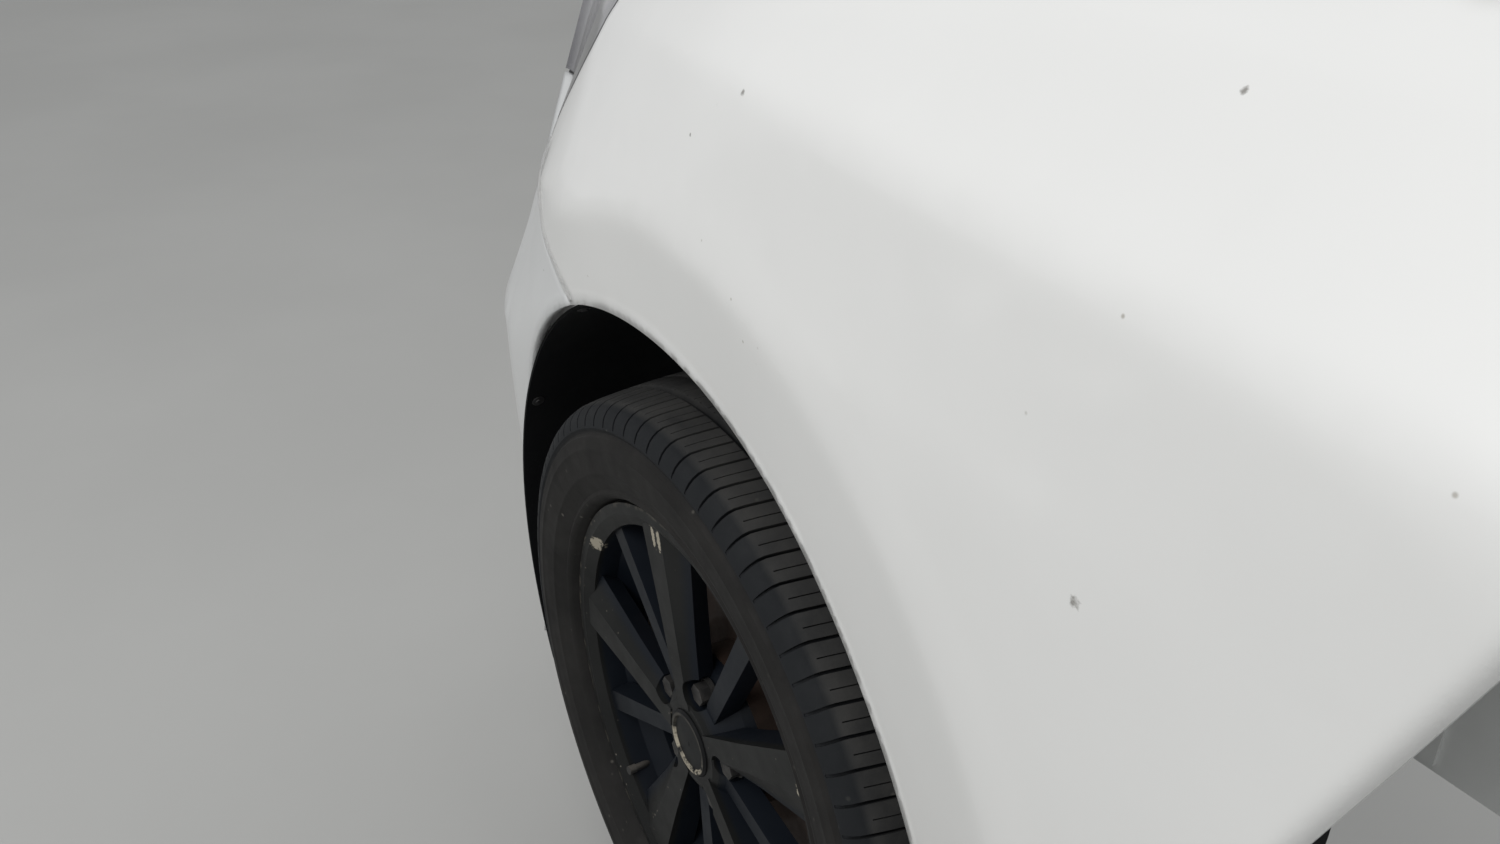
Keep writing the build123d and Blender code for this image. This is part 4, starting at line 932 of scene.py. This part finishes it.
    def pressed(self, spot: Vector, outside: bool) -> float:
        """Gives how far a point of a panel moves inboard.

        Args:
            spot: The point, from the wheel's middle.
            outside: Whether it is on the skin that shows, and not on the sheet's back or a flange.

        Returns:
            The distance, 0 away from the flare.
        """
        radius, turn = self.polar(spot.x, spot.z)
        gap = radius - self.flare(turn)
        share = min(1.0, (radius - self.lip - self.lip_margin) / self.lip_ease,
                    (self.fade - gap) / self.fade_ease, (spot.z - self.foot) / self.foot_ease,
                    (self.front_end - turn) / self.front_ease)
        if share <= 0.0:
            return 0.0
        soft = self.height(turn, gap)
        if not outside:
            number = clamped(round(self.spot_in(turn)), 0, len(self.steps) - 1)
            part = min(1.0, (radius - self.lip) / (self.flare(turn) - self.lip))
            depth = spot.y - soft + (self.steps[number] * part if gap < 0.0 else 0.0)
            soft += depth if depth > self.flange else self.sheet
        return (soft - spot.y) * share

    def build(self, name: str, node: str, slot: str) -> None:
        """Makes one panel with its soft flare.

        Args:
            name: The new piece's name.
            node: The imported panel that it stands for.
            slot: The record slot whose finish it takes.
        """
        bm = bmesh.new()
        bm.from_mesh(frame["nodes"][node].data)
        bmesh.ops.remove_doubles(bm, verts=bm.verts, dist=1e-5)
        seen = bm.verts.layers.float.new("outer")
        for face in bm.faces:
            if face.normal.y < self.outward:
                for vert in face.verts:
                    vert[seen] = 1.0
        self.refine(bm)
        for vert in bm.verts:
            vert.co.y += self.pressed((vert.co - WHEEL_MIDDLE) / MM, vert[seen] > 0.95) * MM
        bm.verts.layers.float.remove(seen)
        bmesh.ops.dissolve_degenerate(bm, dist=0.0004, edges=bm.edges)
        keep(bm, name, Body.CORNER, slot, angle=34.0, replaces=[node])

    def edge(self) -> None:
        """Rolls the wing's front edge beside the bumper's seam."""
        path = []
        for (x, z), (end_x, end_z) in zip(self.seam, self.seam[1:]):
            length = math.hypot(end_x - x, end_z - z)
            across_x, across_z = (end_z - z) / length, -(end_x - x) / length
            for number in range(int(length // self.edge_pace) + 1):
                share = number * self.edge_pace / length
                spot_x, spot_z = x + (end_x - x) * share, z + (end_z - z) * share
                radius, turn = self.polar(spot_x, spot_z)
                gap = radius - self.flare(turn)
                if radius > self.lip + self.edge_start + self.lip_margin and gap < self.fade - self.fade_ease:
                    place = self.height(turn, gap)
                else:
                    place = self.raw(spot_x + across_x * self.edge_side, spot_z + across_z * self.edge_side)
                if place is not None and radius > self.lip + self.edge_start:
                    behind, under = self.edge_offset
                    path.append(at(spot_x + across_x * behind, place + under, spot_z + across_z * behind))
        bm = bmesh.new()
        swept(bm, path[:-1], self.edge_radius)
        keep(bm, "wing_front_edge", Body.CORNER, "white_paint", angle=60.0)


# ---- tyre ----


# The tyre's wall and tread from the outer bead to the middle: distance outboard and radius in millimetres,
# in runs that each have a zone
TYRE_RUNS = (
    ("bead", ((82.0, 204.0), (82.0, 221.2))),
    ("wall", (
        (88.0, 223.6), (94.0, 225.8), (97.2, 228.2), (98.2, 231.0), (96.8, 234.4), (98.6, 238.5),
        (101.6, 244.0), (103.2, 248.6), (103.9, 249.4), (104.3, 251.0), (104.2, 252.2), (105.4, 258.0),
        (106.2, 265.0), (106.5, 271.0), (107.0, 272.0), (107.0, 273.4), (106.4, 274.4), (106.0, 279.0),
        (105.4, 283.2), (103.0, 284.8), (101.9, 286.6), (102.2, 288.6), (103.6, 290.2))),
    ("shoulder", ((103.4, 292.0), (102.3, 296.4), (100.3, 300.6), (97.0, 304.6), (92.6, 307.8))),
    ("rib", ((87.6, 310.0), (78.0, 311.6), (66.0, 312.8))),
    ("edge", ((54.2, 313.8),)),
    ("groove", ((53.4, 313.2), (52.4, 307.5), (47.6, 307.5))),
    ("edge", ((46.6, 313.8),)),
    ("centre", ((45.8, 314.4), (34.0, 315.1))),
    ("edge", ((22.2, 315.5),)),
    ("groove", ((21.4, 315.0), (20.4, 307.5), (15.6, 307.5))),
    ("edge", ((14.6, 315.2),)),
    ("centre", ((13.8, 315.8), (0.0, 316.0))),
)
# The tyre's inner face from the middle to the bead
TYRE_INSIDE = ((0.0, 302.0), (40.0, 301.0), (80.0, 296.0), (92.0, 284.0), (97.0, 262.0), (92.0, 240.0),
               (78.0, 228.0), (70.0, 206.0))


@dataclass
class Tyre:
    """The tyre, cut as one pitch of its tread and repeated around.

    Attributes:
        slot_turn, block_turn, sipe_turn: Their angles in a pitch, in degrees.
        slant, straight: The lean of slots and sipes in degrees a millimetre across, and where it ends.
        slot_depths, sipe_depths, end_depth: How deep they are in each zone, and at another zone's border.
        shallow, squeeze: From where and over what length they grow deeper, and how narrow their floor is.
    """

    pitches: int = 88
    slot_turn: float = 0.46
    sipe_turn: float = 0.17
    block_turn: float = 1.55
    slant: float = 0.030
    straight: float = 90.0
    slot_depths: tuple[tuple[str, float], ...] = (("shoulder", 4.125), ("rib", 5.5), ("edge", 4.95))
    sipe_depths: tuple[tuple[str, float], ...] = (("rib", 2.6), ("edge", 2.2), ("centre", 2.6))
    end_depth: float = 2.0
    shallow: Spot = (291.5, 9.0)
    squeeze: float = 0.995

    def outline(self) -> list[tuple[float, float, str]]:
        """Lists the outline from the outer bead over the tread to the inner bead, and back inside.

        Returns:
            Distance outboard, radius and zone of each corner, the zone being that of the run that follows.
        """
        wall = [(across, radius, zone) for zone, run in TYRE_RUNS for across, radius in run]
        zones = ["bead"] + [zone for _, _, zone in wall]
        other = [(-across, radius, zone) for (across, radius, _), zone in zip(wall[:-1], zones)]
        inside = [(-across, radius) for across, radius in reversed(TYRE_INSIDE)] + [*TYRE_INSIDE[1:]]
        return [*wall, *reversed(other), *((across, radius, "inside") for across, radius in inside)]

    def columns(self) -> list[float]:
        """Lists the angles in degrees of the pitch's slot, block, sipe and block edges."""
        pitch = 360.0 / self.pitches
        edges = [0.0, self.slot_turn, self.slot_turn + self.block_turn]
        edges += [edges[-1] + self.sipe_turn, pitch]
        return edges

    def pitch_mesh(self) -> BMesh:
        """Makes one pitch of the tyre with its slot and sipe pressed in."""
        outline = self.outline()
        edges = self.columns()
        steps = len(edges) - 1
        pitch = edges[-1]
        bm = bmesh.new()
        row_of = bm.verts.layers.int.new("row")
        column_of = bm.faces.layers.int.new("column")
        line = profile(bm, [at(radius, -across, 0.0) for across, radius, _ in outline])
        for row, vert in enumerate(line[:len(outline)]):
            vert[row_of] = row
        bmesh.ops.spin(bm, geom=line, cent=WHEEL_MIDDLE, axis=AXLE, angle=math.radians(-pitch), steps=steps)
        for face in bm.faces:
            place = face.calc_center_median() - WHEEL_MIDDLE
            turn = math.degrees(math.atan2(place.z, place.x)) % 360.0
            turn = turn if turn < 180.0 else 360.0 - turn
            face[column_of] = min(steps - 1, int(turn / pitch * steps))
        for vert in bm.verts:
            place = vert.co - WHEEL_MIDDLE
            turn = abs(math.degrees(math.atan2(place.z, place.x)))
            step = round(turn / pitch * steps)
            across = -place.y / MM
            lean = self.slant * clamped(across, -self.straight, self.straight)
            spin = Matrix.Rotation(math.radians(edges[step] + lean), 3, AXLE)
            radius = math.hypot(place.x, place.z)
            vert.co = WHEEL_MIDDLE + spin @ Vector((radius, place.y, 0.0))
        self.press(bm, outline, row_of, column_of)
        return bm

    def press(self, bm: BMesh, outline: list, row_of: object, column_of: object) -> None:
        """Presses the slots and sipes in to the tread.

        Args:
            bm: The pitch's mesh.
            outline: The tyre's outline with its zones.
            row_of: The layer that holds a vertex's row.
            column_of: The layer that holds a face's column.
        """
        for wanted, depths in ((0, dict(self.slot_depths)), (2, dict(self.sipe_depths))):
            chosen = []
            for face in bm.faces:
                rows = sorted(vert[row_of] for vert in face.verts)
                if face[column_of] == wanted and rows[-1] - rows[0] == 1 and outline[rows[0]][2] in depths:
                    chosen.append(face)
            made = bmesh.ops.extrude_face_region(bm, geom=chosen)
            for vert in (item for item in made["geom"] if isinstance(item, bmesh.types.BMVert)):
                place = vert.co - WHEEL_MIDDLE
                radius = math.hypot(place.x, place.z)
                fade = clamped((radius / MM - self.shallow[0]) / self.shallow[1], 0.05)
                depth = depths.get(outline[vert[row_of]][2], self.end_depth) * fade
                share = (radius - depth * MM) / radius
                vert.co = WHEEL_MIDDLE + Vector((place.x * share, place.y * self.squeeze, place.z * share))
            bmesh.ops.delete(bm, geom=chosen, context="FACES")

    def build(self) -> None:
        """Builds the whole tyre."""
        bm = self.pitch_mesh()
        pitch = math.tau / self.pitches
        bmesh.ops.spin(bm, geom=[*bm.verts, *bm.edges, *bm.faces], cent=WHEEL_MIDDLE, axis=AXLE,
                       angle=pitch * (self.pitches - 1), steps=self.pitches - 1, use_duplicate=True)
        bmesh.ops.remove_doubles(bm, verts=bm.verts, dist=2e-5)
        bmesh.ops.recalc_face_normals(bm, faces=bm.faces)
        keep(bm, "tyre_rubber", Body.WHEEL, "tyre", angle=38.0, replaces=["tyre"])


# ---- fasteners ----


@dataclass
class Fastener:
    """A hexagon head on a round flange, with softened edges: radii and heights in millimetres."""

    head: float
    height: float
    flange: float
    flange_height: float
    softness: float = 0.5

    def add_to(self, bm: BMesh, place: Vector, direction: Vector) -> None:
        """Adds one fastener.

        Args:
            bm: The mesh that holds the fasteners.
            place: The middle of its seat, in metres.
            direction: Where its head points.
        """
        turn = Matrix.Translation(place) @ facing(direction)
        for radius, tall, low, corners in ((self.flange, self.flange_height, 0.0, 20),
                                           (self.head, self.height, self.flange_height, 6)):
            lift = Matrix.Translation((0.0, 0.0, (low + tall / 2) * MM))
            made = bmesh.ops.create_cone(bm, cap_ends=True, segments=corners, radius1=radius * MM,
                                         radius2=radius * MM, depth=tall * MM, matrix=turn @ lift)
            top = [edge for edge in {edge for vert in made["verts"] for edge in vert.link_edges}
                   if all(((turn @ lift).inverted() @ vert.co).z > 0 for vert in edge.verts)]
            bmesh.ops.bevel(bm, geom=top, offset=self.softness * MM, segments=2, profile=0.5, affect="EDGES",
                            material=-1, clamp_overlap=True)


@dataclass(frozen=True)
class Seat:
    """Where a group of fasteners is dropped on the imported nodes."""

    name: str
    body: Body
    nodes: tuple[str, ...]
    starts: tuple[Vector, ...]
    direction: Vector
    fastener: Fastener


BUSH_NODES = ("subframe", "arm_bushes", "lower_arm")
BUSH_BOLT = Fastener(8.5, 7.0, 12.0, 2.0)
WING_BOLTS = ((-60.0, 12.0), (130.0, -13.0), (320.0, -13.0), (510.0, -13.0))
SEATS = (
    Seat("wing_bolts", Body.CORNER, ("wing", "wing_rail"), tuple(at(x, y, 680.0) for x, y in WING_BOLTS), -UP,
         Fastener(5.0, 4.5, 8.5, 1.4)),
    Seat("caliper_bolts", Body.KNUCKLE, ("brake_caliper", "caliper_bracket"),
         (around(128.0, 192.0, 160.0), around(128.0, 140.0, 160.0)), OUTBOARD, Fastener(7.0, 6.0, 9.5, 1.5)),
    Seat("strut_clamp_bolts", Body.KNUCKLE, ("knuckle",), (at(8.5, 190.0, 74.0), at(11.5, 190.0, 104.0)),
         OUTBOARD, Fastener(7.0, 6.0, 10.0, 1.5)),
    Seat("front_bush_bolt", Body.CORNER, BUSH_NODES, (at(-120.0, 300.0, -128.0),), REARWARD, BUSH_BOLT),
    Seat("rear_bush_bolt", Body.CORNER, BUSH_NODES, (at(230.0, 335.0, -230.0),), UP, BUSH_BOLT),
)


@dataclass
class Fixings:
    """Bolts, clamps, screws and the valve that show around the corner."""

    tower_bolts: int = 3
    tower_circle: float = 44.0
    tower_height: float = 512.0
    clamp_place: float = 184.0
    clamp_half: tuple[Spot, ...] = ((-0.4, -3.5), (1.2, -3.5), (1.6, -2.8))
    valve_angle: float = 227.0
    valve_stem: tuple[Spot, ...] = ((201.5, -62.0), (197.0, -69.0), (195.0, -80.0))
    valve_cap: tuple[Spot, ...] = ((195.2, -79.0), (194.0, -87.0))
    screw_place: float = -72.0
    screw_start: float = 330.0
    screw_angles: tuple[float, ...] = (22.0, 52.0, 86.0, 121.0, 154.0)

    def fasten(self, seat: Seat) -> None:
        """Adds one group of bolts on their seats."""
        bm = bmesh.new()
        for start in seat.starts:
            place = packed_tree(seat.nodes).ray_cast(start, seat.direction)[0]
            seat.fastener.add_to(bm, place, -seat.direction)
        keep(bm, seat.name, seat.body, "zinc_steel")

    def liner_screws(self) -> None:
        """Adds the flat screws that hold the liner's outer edge."""
        bm = bmesh.new()
        liner = packed_tree(("arch_liner",))
        screw = Fastener(3.6, 1.2, 6.5, 1.0)
        for degrees in self.screw_angles:
            turn = math.radians(degrees)
            away = Vector((math.cos(turn), 0.0, math.sin(turn)))
            start = at(Skin.arch_x, self.screw_place, Skin.arch_z) + away * (self.screw_start * MM)
            place = liner.ray_cast(start, away)[0]
            screw.add_to(bm, place, -away)
        keep(bm, "liner_screws", Body.CORNER, "black_plastic")

    def boot_clamp(self) -> None:
        """Adds the band at the small end of the driveshaft's boot."""
        place = packed_tree(("driveshaft",)).ray_cast(at(0.0, self.clamp_place, -120.0), UP)[0]
        radius = abs(place.z - WHEEL_MIDDLE.z) / MM
        outline = [(radius + rise, along) for rise, along in self.clamp_half]
        outline += [(radius + rise, -along) for rise, along in reversed(self.clamp_half)]
        keep(turned(outline, 48, at(0.0, self.clamp_place, 0.0), INBOARD), "boot_clamp", Body.DRIVESHAFT,
             "zinc_steel")

    def valve(self) -> None:
        """Adds the tyre's valve in the rim: a bent stem and its cap."""
        bm = bmesh.new()
        for radius, line in ((3.6, self.valve_stem), (4.4, self.valve_cap)):
            swept(bm, [around(height, self.valve_angle, y) for height, y in line], radius, 14)
        keep(bm, "tyre_valve", Body.WHEEL, "rubber")

    def build(self) -> None:
        """Adds the bolts on the strut tower and all others."""
        axis = (STRUT_TOP - STRUT_FOOT).normalized()
        middle = STRUT_FOOT + axis * self.tower_height
        side = axis.orthogonal().normalized()
        bolt = Fastener(6.5, 6.0, 9.5, 1.6)
        bm = bmesh.new()
        for number in range(self.tower_bolts):
            arm = Matrix.Rotation(math.tau / self.tower_bolts * number, 3, axis) @ side
            bolt.add_to(bm, at(*(middle + arm * self.tower_circle)), axis)
        keep(bm, "tower_nuts", Body.CORNER, "zinc_steel")
        for seat in SEATS:
            self.fasten(seat)
        self.liner_screws()
        self.boot_clamp()
        self.valve()


# ---- stage ----


@dataclass
class Stage:
    """The floor, the light and the camera."""

    floor_z: float = -0.501
    floor_size: float = 9.0
    floor_colour: Colour = (0.50, 0.50, 0.485)
    floor_darker: float = 0.94
    floor_mottle: float = 0.8
    floor_rough: float = 0.8
    sky: Colour = (0.93, 0.94, 0.95)
    sky_level: float = 0.585
    eye: Place = (0.1403, -0.7799, 0.5880)
    yaw: float = 59.55
    pitch: float = 28.72
    roll: float = -0.42
    lens: float = 30.0
    sensor: float = 36.0
    backdrop: float = 0.86

    def floor(self) -> None:
        """Lays the floor."""
        bm = bmesh.new()
        bmesh.ops.create_grid(bm, x_segments=8, y_segments=8, size=self.floor_size,
                              matrix=Matrix.Translation((0.0, 0.0, self.floor_z)))
        mesh = bpy.data.meshes.new("floor")
        bm.to_mesh(mesh)
        bm.free()
        material, nodes = new_material("pale_floor")
        dark = tuple(part * self.floor_darker for part in self.floor_colour)
        tones = Effects.mottle.use(nodes, Dark=dark, Light=self.floor_colour, Scale=self.floor_mottle)
        surface = nodes.add("ShaderNodeBsdfPrincipled", {"Base Color": tones["Colour"],
                                                         "Roughness": self.floor_rough})
        nodes.add("ShaderNodeOutputMaterial", {"Surface": surface.outputs[0]})
        mesh.materials.append(material)
        ground = placed("floor", mesh)

    def world(self) -> None:
        """Sets the soft light of the room, and the pale backdrop that the camera and mirrors see."""
        world = bpy.data.worlds.new("room")
        bpy.context.scene.world = world
        world.use_nodes = True
        nodes = Nodes(world.node_tree)
        ways = nodes.add("ShaderNodeLightPath").outputs
        seen = nodes.math("MAXIMUM", ways["Is Camera Ray"], ways["Is Transmission Ray"])
        level = nodes.span(seen, 0.0, 1.0, self.sky_level, self.backdrop)
        backdrop = nodes.add("ShaderNodeBackground", {"Color": self.sky, "Strength": level})
        nodes.add("ShaderNodeOutputWorld", {"Surface": backdrop.outputs[0]})

    def lamp(self, name: str, place: Place, aim: Place, size: Spot, watts: float) -> None:
        """Hangs one wide soft lamp.

        Args:
            name: The lamp's name.
            place: Where it hangs, in metres.
            aim: The point that it faces.
            size: Its width and length in metres.
            watts: Its power.
        """
        light = bpy.data.lights.new(name, "AREA")
        light.shape = "RECTANGLE"
        light.size, light.size_y = size
        light.energy = watts
        holder = placed(name, light)
        holder.location = place
        holder.rotation_euler = (Vector(aim) - Vector(place)).to_track_quat("-Z", "Y").to_euler()

    def camera(self) -> None:
        """Places the camera where the photograph was taken from."""
        yaw, pitch, roll = (math.radians(angle) for angle in (self.yaw, self.pitch, self.roll))
        ahead = Vector((-math.sin(yaw) * math.cos(pitch), math.cos(yaw) * math.cos(pitch), -math.sin(pitch)))
        right = ahead.cross(UP).normalized()
        above = right.cross(ahead)
        level = right * math.cos(roll) + above * math.sin(roll)
        above = above * math.cos(roll) - right * math.sin(roll)
        lens = bpy.data.cameras.new("camera")
        lens.lens = self.lens
        lens.sensor_width = self.sensor
        lens.sensor_fit = "HORIZONTAL"
        lens.clip_start = 0.01
        eye = placed("camera", lens)
        eye.matrix_world = Matrix.Translation(self.eye) @ Matrix((level, above, -ahead)).transposed().to_4x4()
        bpy.context.scene.camera = eye

    def build(self) -> None:
        """Builds the stage."""
        self.floor()
        self.world()
        self.lamp("ceiling", (-1.0, 0.5, 2.7), (-0.3, -0.2, 0.2), (3.6, 3.0), 5.0)
        self.lamp("window", (0.1, -2.4, 2.5), (-0.4, -0.3, 0.2), (2.4, 1.6), 48.0)
        self.camera()
        bpy.context.scene.view_settings.view_transform = "Standard"


def main() -> None:
    """Builds the dressed corner and its stage."""
    logging.basicConfig(level=logging.INFO, format="%(name)s: %(message)s")
    Stage().build()
    dress_nodes()
    skin = Skin()
    skin.build("wing_panel", "wing", "white_paint")
    skin.build("bumper_panel", "bumper_corner", "bumper_paint")
    skin.edge()
    Tyre().build()
    Fixings().build()


if __name__ == "__main__":
    main()
